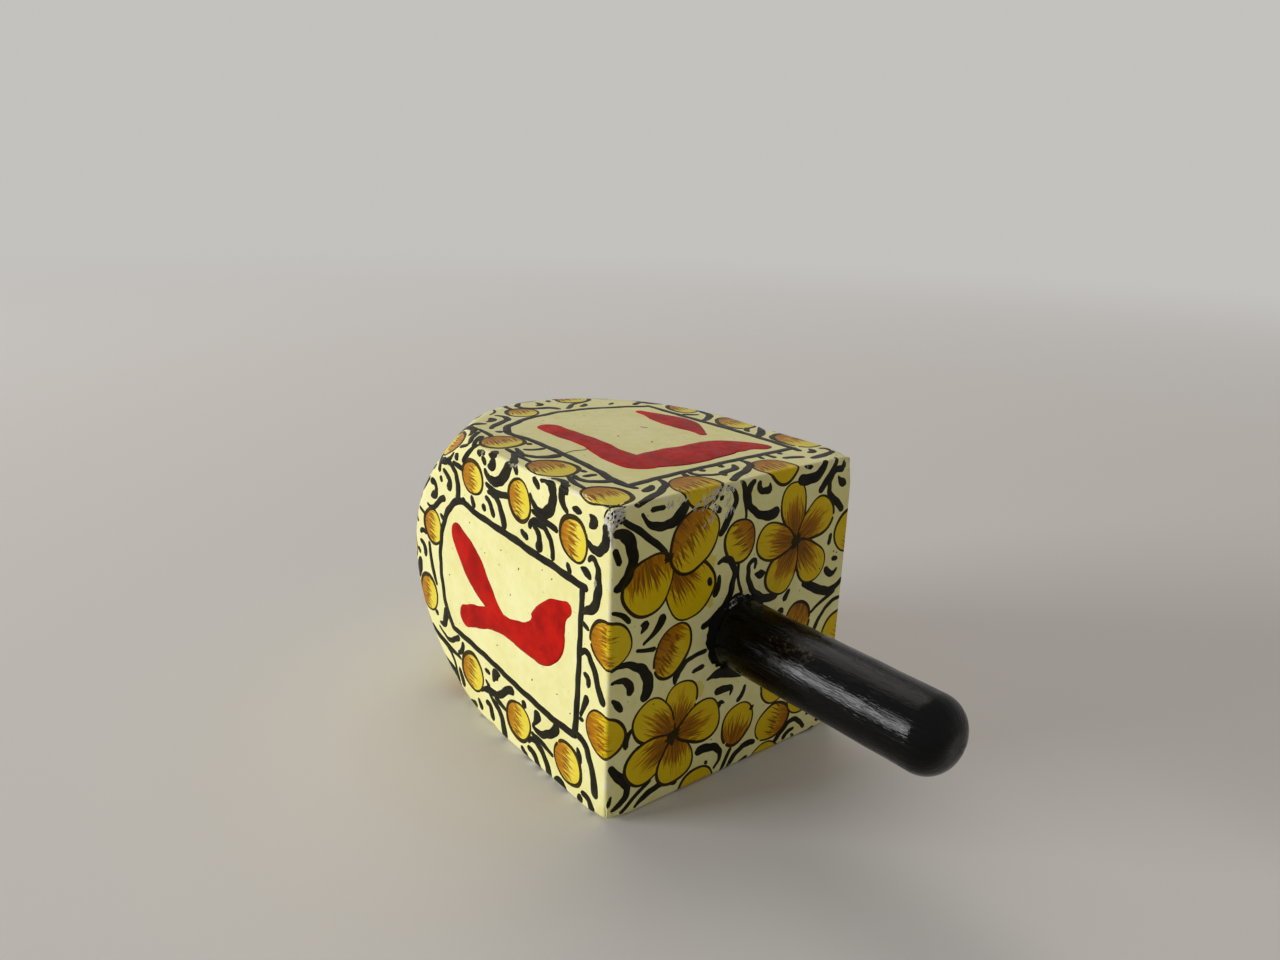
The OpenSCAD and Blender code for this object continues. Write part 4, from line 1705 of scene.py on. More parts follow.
# Scrolls, hooks and dots of the stem face
STEM_SCROLLS: list[Stroke] = [
    [(-22.8, 22.7, 0.8), (-19.0, 19.9, 0.9), (-15.0, 16.4, 0.8)],
    [(-19.8, 23.2, 0.5), (-17.2, 20.9, 1.1), (-15.0, 20.8, 1.3), (-13.0, 21.6, 1.6),
     (-11.7, 23.2, 1.5)],
    [(-18.1, 23.5, 0.7), (-15.7, 23.4, 0.7)],
    [(-24.5, 21.2, 1.0), (-22.7, 20.6, 1.6), (-21.4, 18.2, 1.6), (-21.5, 15.4, 1.5),
     (-22.7, 13.6, 1.5), (-24.1, 12.9, 1.1)],
    [(-24.3, 18.8, 1.0), (-23.5, 16.6, 0.9)],
    [(-24.6, 9.5, 0.5), (-23.6, 9.2, 0.6), (-21.4, 7.3, 0.7)],
    [(-19.3, 6.3, 0.5), (-18.6, 6.2, 1.3), (-19.3, 5.0, 0.4)],
    [(-15.2, 6.6, 1.4), (-16.0, 5.2, 1.1), (-18.8, 3.1, 0.5)],
    [(-20.0, 2.4, 0.5), (-16.5, 1.7, 0.7)],
    [(-4.8, 12.4, 0.6), (-3.2, 12.8, 1.0), (-1.6, 11.3, 1.0), (-1.5, 8.5, 1.0), (-2.5, 5.8, 1.1),
     (-4.6, 3.9, 1.0), (-7.3, 2.6, 1.0)],
    [(-4.4, 10.4, 0.6), (-4.4, 9.0, 0.9), (-5.2, 7.3, 1.0)],
    [(-6.4, 10.4, 0.9), (-6.1, 9.4, 0.9)],
    [(-3.6, 24.5, 0.5), (-2.0, 22.8, 0.8), (-2.4, 20.5, 0.9), (-3.3, 19.0, 1.2),
     (-4.7, 17.0, 0.9)],
    [(-5.6, 21.6, 0.7), (-5.0, 20.8, 1.0)],
    [(-0.8, 25.0, 0.7), (-0.2, 23.5, 0.9), (0.2, 22.0, 1.0), (0.4, 20.5, 0.6), (0.5, 18.6, 0.5)],
    [(2.0, 24.4, 0.8), (0.9, 23.2, 1.1), (0.9, 21.5, 1.0), (2.2, 19.6, 1.0), (4.5, 18.3, 1.3),
     (7.4, 18.4, 1.6)],
    [(3.0, 24.0, 0.8), (3.2, 22.8, 0.9), (4.4, 22.3, 1.0), (5.4, 22.3, 1.2)],
    [(5.4, 22.4, 0.8), (5.2, 23.4, 0.4)],
    [(13.2, 25.0, 0.9), (14.6, 24.6, 1.0)],
    [(12.0, 22.8, 1.6), (14.5, 22.5, 1.6), (17.0, 23.6, 1.4), (18.2, 25.3, 1.1)],
    [(21.2, 26.0, 0.6), (20.0, 23.5, 1.0), (18.4, 21.5, 1.1), (17.0, 20.0, 1.1)],
    [(22.9, 24.2, 0.9), (22.5, 23.2, 1.1), (20.5, 22.9, 0.9), (19.6, 22.0, 0.9), (19.3, 20.3, 0.9),
     (20.0, 18.5, 1.1), (21.6, 17.2, 1.1), (23.0, 15.8, 1.1)],
    [(21.3, 21.8, 0.4), (22.3, 20.7, 1.2), (23.1, 20.2, 1.1)],
    [(20.7, 11.9, 0.7), (20.3, 10.2, 0.8)],
    [(21.6, 7.3, 0.8), (22.8, 7.1, 0.8)],
    [(20.0, 5.9, 0.9), (21.0, 4.9, 1.1), (22.0, 4.6, 0.9), (23.0, 5.3, 0.5)],
    [(14.8, 4.5, 1.2), (17.0, 3.4, 1.3), (20.0, 1.9, 1.4), (22.5, 1.7, 1.1), (24.8, 3.0, 0.9)],
    [(3.2, 9.8, 0.5), (3.0, 11.2, 0.7), (2.2, 11.0, 0.7), (1.8, 9.5, 0.8), (2.4, 7.4, 0.9),
     (4.4, 5.0, 1.0), (6.5, 4.0, 1.2), (8.6, 3.9, 1.2)],
    [(3.3, 8.8, 0.5), (4.6, 8.5, 1.3), (5.4, 8.6, 0.8)],
    [(11.6, 4.1, 0.7), (10.5, 2.6, 1.0)],
    [(9.5, 0.9, 1.1), (10.3, 0.5, 1.1)],
    [(-0.5, 11.6, 0.5), (-0.3, 9.0, 0.5), (0.6, 6.2, 0.5)],
    [(17.3, -1.5, 0.5), (19.5, -0.3, 0.6), (23.0, 1.2, 0.7)],
    [(-24.5, 0.4, 0.5), (-22.5, 0.8, 0.8), (-20.0, -0.2, 1.1), (-18.2, -1.8, 1.5),
     (-17.6, -4.0, 1.7), (-18.2, -6.0, 1.6)],
    [(-24.4, -1.6, 0.5), (-23.0, -1.5, 0.7), (-21.4, -2.4, 1.1), (-20.8, -4.2, 1.2)],
    [(-24.2, -4.3, 0.5), (-23.2, -5.4, 1.0), (-22.3, -6.5, 0.7)],
    [(-20.2, -10.3, 0.6), (-21.2, -11.4, 1.0), (-21.3, -13.2, 0.8)],
    [(-24.2, -15.4, 1.0), (-22.9, -17.4, 1.3), (-21.4, -19.0, 1.3), (-21.0, -20.7, 1.1),
     (-22.0, -22.3, 1.0), (-23.5, -23.3, 0.7)],
    [(-23.9, -20.5, 0.5), (-24.4, -22.1, 0.9)],
    [(-16.4, -20.5, 0.6), (-19.0, -22.0, 0.7), (-22.0, -24.2, 0.6)],
    [(-11.2, -23.0, 0.9), (-13.0, -22.3, 1.0), (-15.5, -22.4, 1.0), (-17.8, -23.1, 0.9),
     (-19.4, -24.2, 0.5)],
    [(-7.0, -19.2, 1.4), (-4.5, -19.3, 1.3), (-2.5, -20.4, 1.0), (-1.9, -21.8, 0.8),
     (-3.1, -23.7, 0.5)],
    [(-5.1, -21.7, 0.6), (-4.7, -22.1, 0.6)],
    [(-8.8, -4.5, 0.6), (-6.6, -4.1, 0.8)],
    [(-12.3, -5.3, 0.7), (-12.2, -4.3, 1.1), (-11.0, -2.9, 0.9), (-9.0, -1.9, 0.7),
     (-6.2, -1.6, 0.7)],
    [(-5.7, -6.9, 0.4), (-3.6, -6.4, 1.4), (-1.2, -6.9, 1.6), (2.2, -7.9, 1.4)],
    [(-3.6, -9.6, 1.1), (-1.3, -9.8, 1.1), (-0.2, -10.2, 0.8), (-0.4, -11.2, 0.4)],
    [(-3.0, -12.6, 0.9), (-2.4, -11.9, 0.9), (-1.6, -12.2, 0.4)],
    [(2.9, -10.5, 0.6), (2.4, -11.8, 0.8), (1.4, -12.9, 0.8)],
    [(4.5, -15.4, 0.8), (5.1, -15.0, 0.7)],
    [(0.5, -21.3, 0.7), (-0.8, -23.5, 0.7), (-1.6, -24.8, 0.6)],
    [(-0.3, -25.0, 0.6), (0.8, -23.6, 0.9), (2.5, -22.4, 0.9), (4.5, -21.8, 1.0),
     (6.0, -22.2, 0.8)],
    [(2.6, -24.8, 0.5), (4.4, -24.3, 0.7)],
    [(11.0, -24.0, 0.9), (13.0, -22.3, 0.8), (15.0, -21.2, 0.8), (16.7, -21.9, 0.8),
     (18.2, -23.6, 0.7)],
    [(13.1, -24.2, 0.8), (14.0, -23.3, 0.8), (15.6, -22.9, 0.6)],
    [(15.2, -24.0, 0.6), (15.8, -24.8, 0.6)],
    [(24.6, -0.4, 0.6), (22.0, -1.0, 0.7), (20.2, -2.6, 0.7), (18.6, -5.0, 0.8)],
    [(23.6, -15.2, 0.7), (22.6, -17.4, 1.1), (22.8, -19.8, 1.2), (24.0, -21.4, 0.8)],
    [(20.4, -16.6, 0.6), (20.6, -18.6, 1.0), (20.0, -20.6, 0.9), (18.6, -21.2, 0.6)],
    [(21.4, -23.4, 0.8), (22.8, -23.2, 1.0), (24.0, -24.2, 0.7)],
    [(6.6, -8.0, 0.6), (7.6, -6.2, 0.9), (9.2, -4.8, 1.0)],
    [(5.6, -10.4, 0.8), (7.0, -9.9, 0.8)],
]


@dataclass
class Panel:
    """The paint of one flat side: a letter in a framed panel with a border of buds and scrolls."""

    form: BlockForm
    face: Face
    title: str
    letter: Letter
    buds: list[Petal]
    frame: list[Stroke]
    scrolls: list[Stroke]
    seed: int
    line_width: float = 0.72
    bold: float = 1.5

    def build(self) -> list[bpy.types.Object]:
        """Paint the side.

        Returns:
            The side's pieces.
        """
        bouquet = Bouquet(self.form, self.face, (self.seed, self.seed + 4, self.seed + 1))
        scrolls = Film(self.form, SCROLL_HEIGHT, self.seed + 2)
        letter = Film(self.form, LETTER_HEIGHT, self.seed + 3)
        bouquet.paint(self.buds, self.line_width)
        scrolls.ribbons(self.face, self.frame + self.scrolls, self.bold)
        letter.ribbons(self.face, self.letter.strokes())
        names = (f"{self.title}_{part}" for part in ("buds", "bud_hatch", "bud_lines"))
        return [
            *bouquet.pieces(BUDS, *names),
            scrolls.piece(f"{self.title}_scrolls", SCROLL_BLACK, "black_paint"),
            letter.piece(f"{self.title}_{self.letter.value}", LETTER_RED, "red_paint"),
        ]


@dataclass
class StemFacePaint:
    """The paint of the stem face: blossoms, buds and scrolls, with buds that fold over its edges."""

    form: BlockForm
    seed: int = 50
    line_width: float = 0.5
    bold: float = 1.3
    heart_lean: float = 45.0

    def build(self) -> list[bpy.types.Object]:
        """Paint the stem face.

        Returns:
            The face's pieces.
        """
        bouquet = Bouquet(self.form, Face.STEM, (self.seed, self.seed + 4, self.seed + 1))
        scrolls = Film(self.form, SCROLL_HEIGHT, self.seed + 2)
        hearts = Film(self.form, HEART_HEIGHT, self.seed + 3)
        bouquet.paint(STEM_PETALS + STEM_BUDS, self.line_width)
        bouquet.paint(EDGE_BUDS, self.line_width, fine=True)
        scrolls.ribbons(Face.STEM, STEM_SCROLLS, self.bold)
        for y, z, long, wide in STEM_HEARTS:
            hearts.ragged(Face.STEM, (y, z), (long, wide), self.heart_lean)
        names = ("stem_face_petals", "stem_face_hatch", "stem_face_petal_lines")
        return [
            *bouquet.pieces(BLOSSOMS, *names),
            scrolls.piece("stem_face_scrolls", SCROLL_BLACK, "black_paint"),
            hearts.piece("stem_face_hearts", LINE_OLIVE, "black_paint"),
        ]


# Buds in one quarter of the turned end: distance from the point, angle, length, width and lean
POINT_BUDS = [
    (43.5, 45.0, 11.0, 7.0, 180), (28.5, 0.0, 7.2, 6.8, 0), (30.5, 27.0, 7.2, 7.0, 20),
    (30.5, -27.0, 7.2, 7.0, -20), (18.0, 22.5, 7.2, 6.4, 0), (18.0, 67.5, 7.2, 6.4, 0),
]

# Scrolls and hooks in one quarter of the turned end: distance from the point, angle and width
POINT_SCROLLS: list[Stroke] = [
    [(24.8, -18.0, 0.6), (23.4, -12.0, 0.9), (22.8, -4.0, 1.1), (23.2, 4.0, 1.0), (24.6, 9.0, 0.9),
     (26.0, 9.6, 0.6)],
    [(22.4, 33.0, 0.6), (24.2, 38.0, 1.0), (24.6, 45.0, 1.2), (23.6, 52.0, 1.1), (21.8, 55.0, 0.9),
     (20.9, 51.0, 0.6)],
    [(33.2, 12.4, 0.6), (30.8, 14.6, 0.9), (28.3, 14.2, 1.1), (26.6, 13.6, 1.0),
     (25.2, 16.0, 0.7)],
    [(33.0, -12.0, 0.6), (30.8, -14.2, 0.9), (28.4, -14.4, 1.1), (26.8, -13.4, 0.9)],
    [(36.4, 38.4, 0.6), (33.6, 40.0, 1.0), (31.2, 43.5, 1.3), (30.4, 48.0, 1.2), (31.6, 51.6, 1.0),
     (33.8, 50.6, 0.6)],
    [(38.6, 53.0, 0.6), (36.4, 55.4, 1.0), (34.4, 54.6, 0.8)],
    [(35.6, 32.6, 0.6), (37.8, 35.4, 1.0), (40.6, 35.6, 0.8)],
    [(12.0, -10.0, 0.6), (13.6, -6.0, 0.9), (14.4, 2.0, 1.2), (13.6, 8.6, 0.9), (12.2, 8.0, 0.6)],
    [(12.2, 36.0, 0.6), (14.4, 40.0, 0.9), (15.4, 47.0, 1.2), (14.0, 53.0, 0.9),
     (12.4, 52.0, 0.6)],
    [(13.8, 13.0, 0.6), (12.2, 16.0, 0.9), (11.6, 21.0, 1.1), (11.8, 27.0, 0.9),
     (13.2, 30.0, 0.6)],
    [(13.8, 58.0, 0.6), (12.2, 61.0, 0.9), (11.6, 66.0, 1.1), (11.8, 72.0, 0.9),
     (13.2, 75.0, 0.6)],
    [(21.4, -5.6, 0.6), (20.2, -8.6, 1.0), (18.4, -9.2, 1.1), (16.8, -7.0, 0.9),
     (16.4, -4.0, 0.6)],
    [(21.4, 8.6, 0.6), (19.6, 9.4, 1.0), (17.6, 8.2, 1.1), (16.4, 5.0, 0.7)],
    [(22.0, 24.0, 0.6), (24.6, 27.4, 0.9), (26.6, 33.4, 1.1), (28.6, 38.0, 0.7)],
    [(22.0, 66.0, 0.6), (24.6, 62.6, 0.9), (26.8, 56.4, 1.1), (28.8, 52.2, 0.7)],
    [(39.2, 40.4, 0.6), (41.6, 38.8, 1.0), (44.6, 38.4, 1.2), (47.4, 39.4, 0.9),
     (48.8, 41.6, 0.6)],
    [(39.2, 49.8, 0.6), (42.0, 51.4, 1.0), (45.2, 51.8, 1.2), (48.2, 50.6, 0.9),
     (49.6, 48.2, 0.6)],
    [(35.0, 26.0, 0.6), (36.6, 28.6, 1.0), (38.8, 31.6, 0.8)],
    [(35.0, 63.4, 0.6), (36.6, 60.8, 1.0), (38.4, 58.2, 0.8)],
    [(34.2, 45.0, 0.8), (37.2, 45.2, 0.8)],
    [(49.8, 44.0, 0.7), (52.8, 45.0, 0.8)],
    [(19.0, 0.6, 0.8), (17.8, -1.4, 1.0)],
    [(20.0, 43.0, 0.9), (18.4, 46.6, 1.2)],
    [(17.4, 39.6, 0.7), (16.8, 43.0, 0.9)],
    [(27.2, 43.4, 0.8), (27.8, 47.0, 1.0)],
    [(28.4, 19.4, 0.7), (26.6, 20.6, 0.9)],
    [(28.4, 70.8, 0.7), (26.6, 69.4, 0.9)],
    [(33.4, 34.6, 0.7), (32.0, 36.6, 1.0)],
    [(24.6, -2.0, 0.6), (24.4, 1.6, 0.8)],
]


@dataclass
class PointPaint:
    """The paint of the turned end: the same buds and scrolls in four quarters round a small rosette.

    Attributes:
        form: The surface.
        seed: Seed of the hand's unsteadiness.
        bold: What the widths of the scrolls are multiplied by.
        line_width: Width of the buds' outlines.
        sway: How far a quarter may be turned off its place, in degrees.
        first: Angle of the first quarter.
        rosette: Number of petals round the spinning point.
        rosette_reach: Distance of their middles from the point.
        rosette_petal: A petal of the rosette, before it is put in its place.
        heart: The stroke that covers the spinning point.
    """

    form: BlockForm
    seed: int = 500
    bold: float = 1.7
    line_width: float = 0.7
    sway: float = 1.5
    first: float = 180.0
    rosette: int = 5
    rosette_reach: float = 5.9
    rosette_petal: Petal = Petal((0.0, 0.0), 8.6, 7.0, wedge=0.5, stain=0.62, taper=0.34)
    heart: tuple[tuple[float, float, float], ...] = ((-0.7, 0.0, 1.2), (0.0, 0.0, 1.5), (0.7, 0.0, 1.2))

    @staticmethod
    def spot(reach: float, angle: float) -> Spot:
        """Turn a length and an angle round the point into a spot of its drawing."""
        return (reach * math.cos(math.radians(angle)), reach * math.sin(math.radians(angle)))

    def build(self) -> list[bpy.types.Object]:
        """Paint the turned end.

        Returns:
            The end's pieces.
        """
        bouquet = Bouquet(self.form, Face.POINT, (self.seed, self.seed + 1, self.seed + 2))
        scrolls = Film(self.form, SCROLL_HEIGHT, self.seed + 3)
        rng = np.random.default_rng(self.seed + 4)
        buds = []
        for quarter in range(4):
            sway = rng.uniform(-self.sway, self.sway) if quarter else 0.0
            base = self.first + 90 * quarter
            for reach, angle, length, width, lean in POINT_BUDS:
                turn = base + angle + sway
                buds.append(Petal(self.spot(reach, turn), length, width, turn + lean))
            for stroke in POINT_SCROLLS:
                drawn = [(*self.spot(reach, base + angle + sway), width) for reach, angle, width in stroke]
                scrolls.ribbon(Face.POINT, drawn, self.bold)
        for number in range(self.rosette):
            turn = 360 / self.rosette * number
            buds.append(replace(self.rosette_petal, at=self.spot(self.rosette_reach, turn), lean=turn))
        bouquet.lines.ribbon(Face.POINT, list(self.heart))
        bouquet.paint(buds, self.line_width)
        return [
            *bouquet.pieces(BUDS, "point_buds", "point_bud_hatch", "point_bud_lines"),
            scrolls.piece("point_scrolls", SCROLL_BLACK, "black_paint"),
        ]


# Scuffs on the stem face: middle, half length, half width, lean and number of dabs
SCUFFS = [
    (-8.0, 22.4, 2.3, 0.8, 8, 24), (-6.2, 24.0, 2.4, 0.8, 12, 26), (-3.2, 22.8, 0.8, 1.9, -8, 16),
    (-3.0, 20.2, 1.2, 0.6, 35, 8), (-6.6, 20.4, 2.2, 0.7, 40, 14), (-13.2, 23.8, 2.2, 0.4, 8, 12),
    (-24.0, 23.6, 1.5, 1.3, 30, 22), (-25.1, 21.6, 0.5, 1.8, 0, 10),
    (-24.6, -24.4, 1.2, 0.8, 20, 12),
]

# Dark crumbs of paint on the stem face, listed like the scuffs
CRUMBS = [
    (-24.2, 23.6, 1.4, 1.2, 30, 26), (-25.4, 24.0, 1.0, 1.0, 0, 12), (-6.6, 22.8, 2.4, 1.2, 10, 8),
]

# Chipped spots on and over the edges of the stem face: middle, half length, half width and lean
CHIPS = [
    (-24.1, 23.3, 1.3, 1.1, 30), (-23.3, 23.6, 0.9, 0.7, 0), (-24.7, 22.3, 0.9, 0.6, 80),
    (-25.0, 24.4, 0.9, 0.6, 20), (-23.9, 24.6, 1.2, 0.5, 0), (-24.6, 25.8, 1.0, 0.6, 0),
    (-23.2, 25.6, 0.9, 0.5, 10), (-25.9, 23.8, 0.9, 0.6, 70), (-26.5, 22.9, 0.8, 0.5, 60),
    (-25.7, 22.1, 0.7, 0.5, 90), (-25.2, 21.0, 0.8, 0.35, 90), (-25.1, 19.9, 0.6, 0.25, 90),
    (-5.6, 24.4, 0.8, 0.4, 20), (-3.6, 24.0, 0.6, 0.4, -20), (24.6, 24.8, 0.7, 0.4, 45),
    (24.7, -24.8, 0.8, 0.4, -45), (-25.0, -24.5, 0.9, 0.5, 40), (-23.9, -24.9, 0.7, 0.35, 0),
]

# Dark specks on the stem face: middle and half length
CHIP_SPECKS = [
    (-24.3, 23.6, 0.35), (-23.7, 23.0, 0.3), (-23.2, 23.9, 0.32), (-24.7, 22.9, 0.26),
    (-24.9, 24.6, 0.36), (-24.2, 24.3, 0.26), (-23.4, 24.6, 0.32), (-25.6, 24.0, 0.32),
    (-26.2, 23.3, 0.26), (-23.3, 22.6, 0.3), (-24.1, 22.3, 0.26), (-22.8, 23.2, 0.24),
    (-9.0, 23.0, 0.14), (-6.0, 22.0, 0.16), (-4.7, 22.8, 0.5), (21.8, 8.6, 0.16),
    (22.6, 8.2, 0.14), (-16.4, -7.4, 0.14), (18.6, 6.2, 0.14), (-4.0, -18.0, 0.12),
]

# Dark rims of the chipped corner
CHIP_RIMS: list[Stroke] = [
    [(-24.9, 26.2, 0.3), (-24.0, 26.6, 0.4), (-23.0, 26.2, 0.35), (-22.3, 25.4, 0.25)],
    [(-26.0, 24.9, 0.3), (-26.8, 24.0, 0.35), (-27.0, 23.0, 0.25)],
]

# Specks on the left side's panel: middle and half length
PANEL_SPECKS = [
    (-14.6, 9.6, 0.16), (-24.0, 8.0, 0.2), (-29.4, 9.4, 0.14), (-31.0, -8.2, 0.16),
    (-20.2, -9.8, 0.2), (-26.6, 2.6, 0.14), (-13.0, -9.0, 0.14), (-39.6, 11.0, 0.14),
    (-47.4, -1.2, 0.16), (-34.6, 7.2, 0.12), (-17.2, 10.2, 0.12), (-9.4, -10.6, 0.16),
]

# Hairline scratches on the upper side's panel
TOP_SCRATCHES: list[Stroke] = [
    [(-27.0, -9.8, 0.1), (-26.0, -11.2, 0.16), (-26.3, -12.8, 0.14), (-26.0, -15.0, 0.18)],
    [(-24.4, 1.5, 0.14), (-23.6, 1.1, 0.1)],
    [(-30.3, -1.2, 0.12), (-29.6, -1.5, 0.1)],
    [(-33.0, 6.0, 0.08), (-31.8, 6.6, 0.08)],
]

# Spilt yellow beside petals of the stem face: middle, half length, half width and lean
SPILLS = [(-7.2, -7.9, 2.0, 1.1, 100), (-6.4, 12.8, 1.6, 1.2, 40), (-6.2, 6.4, 1.2, 0.9, -40)]


@dataclass
class Wear:
    """Knocks, scuffs, specks and spills that age has left on the paint.

    Attributes:
        form: The surface.
        seed: Seed of the marks' unevenness.
        scuff_sizes: Shortest and longest dab of a scuff.
        scuff_way: Direction of most scuffs in degrees.
        crumb_sizes: Shortest and longest crumb.
    """

    form: BlockForm
    seed: int = 700
    scuff_sizes: Spot = (0.5, 1.2)
    scuff_way: float = 62.0
    crumb_sizes: Spot = (0.15, 0.4)

    def build(self) -> list[bpy.types.Object]:
        """Make the marks of wear.

        Returns:
            The wear's pieces.
        """
        chalk = Film(self.form, SCUFF_HEIGHT, self.seed)
        specks = Film(self.form, SPECK_HEIGHT, self.seed + 1)
        spills = Film(self.form, SPILL_HEIGHT, self.seed + 2)
        for y, z, long, wide, lean, count in SCUFFS:
            chalk.scatter(Face.STEM, (y, z), (long, wide), lean, count, self.scuff_sizes, self.scuff_way)
        for y, z, long, wide, lean, count in CRUMBS:
            specks.scatter(Face.STEM, (y, z), (long, wide), lean, count, self.crumb_sizes, 0)
        for y, z, long, wide, lean in CHIPS:
            chalk.ragged(Face.STEM, (y, z), (long, wide), lean, deep=0.15)
        chalk.ragged(Face.LEFT, (-3.6, 12.9), (0.7, 0.4), 80, deep=0.9)
        for y, z, reach in CHIP_SPECKS:
            specks.ragged(Face.STEM, (y, z), (reach, reach * 0.8), 30)
        for u, v, reach in PANEL_SPECKS:
            specks.ragged(Face.LEFT, (u, v), (reach, reach * 0.7), 60, deep=1.2)
        specks.ribbons(Face.UPPER, TOP_SCRATCHES)
        specks.ribbons(Face.STEM, CHIP_RIMS)
        for y, z, long, wide, lean in SPILLS:
            spills.ragged(Face.STEM, (y, z), (long, wide), lean, deep=0.2)
        return [
            chalk.piece("chips_and_scuffs", CHALK, "ivory_varnish"),
            specks.piece("specks_and_scratches", SCROLL_BLACK, "black_paint"),
            spills.piece("paint_spills", SPILL_YELLOW, "yellow_paint"),
        ]


@dataclass
class Block:
    """The wooden block with its cream ground.

    Attributes:
        form: The block's surface.
        bore_r: Radius of the hole.
        bore_depth: Depth of the hole.
        bore_mouth: Depth of the last ring in the hole.
        bore_rings: Rings along the hole.
        face_rings: Rings across the stem face.
        spacing: Distance between the rings along the sides.
        sides_end: Distance from the stem face up to which the rings follow the sides.
        cap_reach: Length along the curve from the spinning point at which the other rings begin.
        cap_end: Length along the curve before which they end.
        edge_turns: Angles of the rows round a softened edge, up to its middle.
    """

    form: BlockForm
    bore_r: float = 4.15
    bore_depth: float = 20.0
    bore_mouth: float = 0.4
    bore_rings: int = 12
    face_rings: int = 40
    spacing: float = 0.6
    sides_end: float = 58.0
    cap_reach: float = 33.0
    cap_end: float = 0.3
    edge_turns: tuple[float, ...] = (9, 18, 27, 36, 45)

    def edge_steps(self) -> np.ndarray:
        """Tell how far the rows round an edge lie from its start, as shares of its radius."""
        return np.tan(np.radians(self.edge_turns))

    def columns(self) -> np.ndarray:
        """Place the mesh's columns round a square of half width one.

        Returns:
            The columns as (y, z), anticlockwise seen from the stem.
        """
        half, edge = self.form.half, self.form.edge_r
        flat = half - edge
        corner = flat + edge * self.edge_steps()[:-1]
        middle = np.linspace(-flat, flat, int(2 * flat / self.spacing))
        across = np.concatenate([[-half], -corner[::-1], middle, corner]) / half
        one = np.ones_like(across)
        sides = [(one, across), (-across, one), (-one, -across), (across, -one)]
        return np.vstack([np.column_stack(side) for side in sides])

    def side_rings(self) -> list[float]:
        """Space the rings from the edge of the stem face to the spinning point.

        Returns:
            Each ring's distance from the stem face.
        """
        form = self.form
        edge = form.edge_r * (1 - self.edge_steps()[-2::-1])
        sides = np.arange(form.edge_r, self.sides_end, self.spacing)
        cap = form.along_curve(np.arange(self.cap_reach, self.cap_end, -self.spacing))
        return [*edge, *sides, *cap]

    def build(self) -> bpy.types.Object:
        """Make the block, from the bottom of its hole over the stem face to the spinning point.

        Returns:
            The block.
        """
        form = self.form
        square = self.columns()
        count = len(square)
        bore = unit(square) * self.bore_r
        flat = square * (form.half - form.edge_r)
        rings = []
        for depth in np.linspace(self.bore_depth, self.bore_mouth, self.bore_rings):
            rings.append(form.world(np.column_stack([np.full(count, depth), bore])))
        front = [bore * (1 - share) + flat * share for share in np.linspace(0, 1, self.face_rings)]
        front += [square * (form.half - form.edge_r + form.edge_r * step) for step in self.edge_steps()]
        for ring in front:
            rings.append(form.place(np.column_stack([np.zeros(count), ring])))
        for a in self.side_rings():
            rings.append(form.place(np.column_stack([np.full(count, a), square * form.half])))
        bottom = form.world(np.array([[self.bore_depth, 0, 0]]))
        tip = form.place(np.array([[form.length, form.half, 0]]))
        total = len(rings) * count
        faces = ring_faces(len(rings), count)
        faces += fan_faces(0, count, total)
        faces += fan_faces(total - count, count, total + 1, flip=True)
        points = np.vstack([*rings, bottom, tip])
        marks = {"edge": form.edge_mark(points)}
        piece = mesh_object("ivory_block", points, faces, GROUND, marks=marks)
        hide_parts("body_block")
        return piece


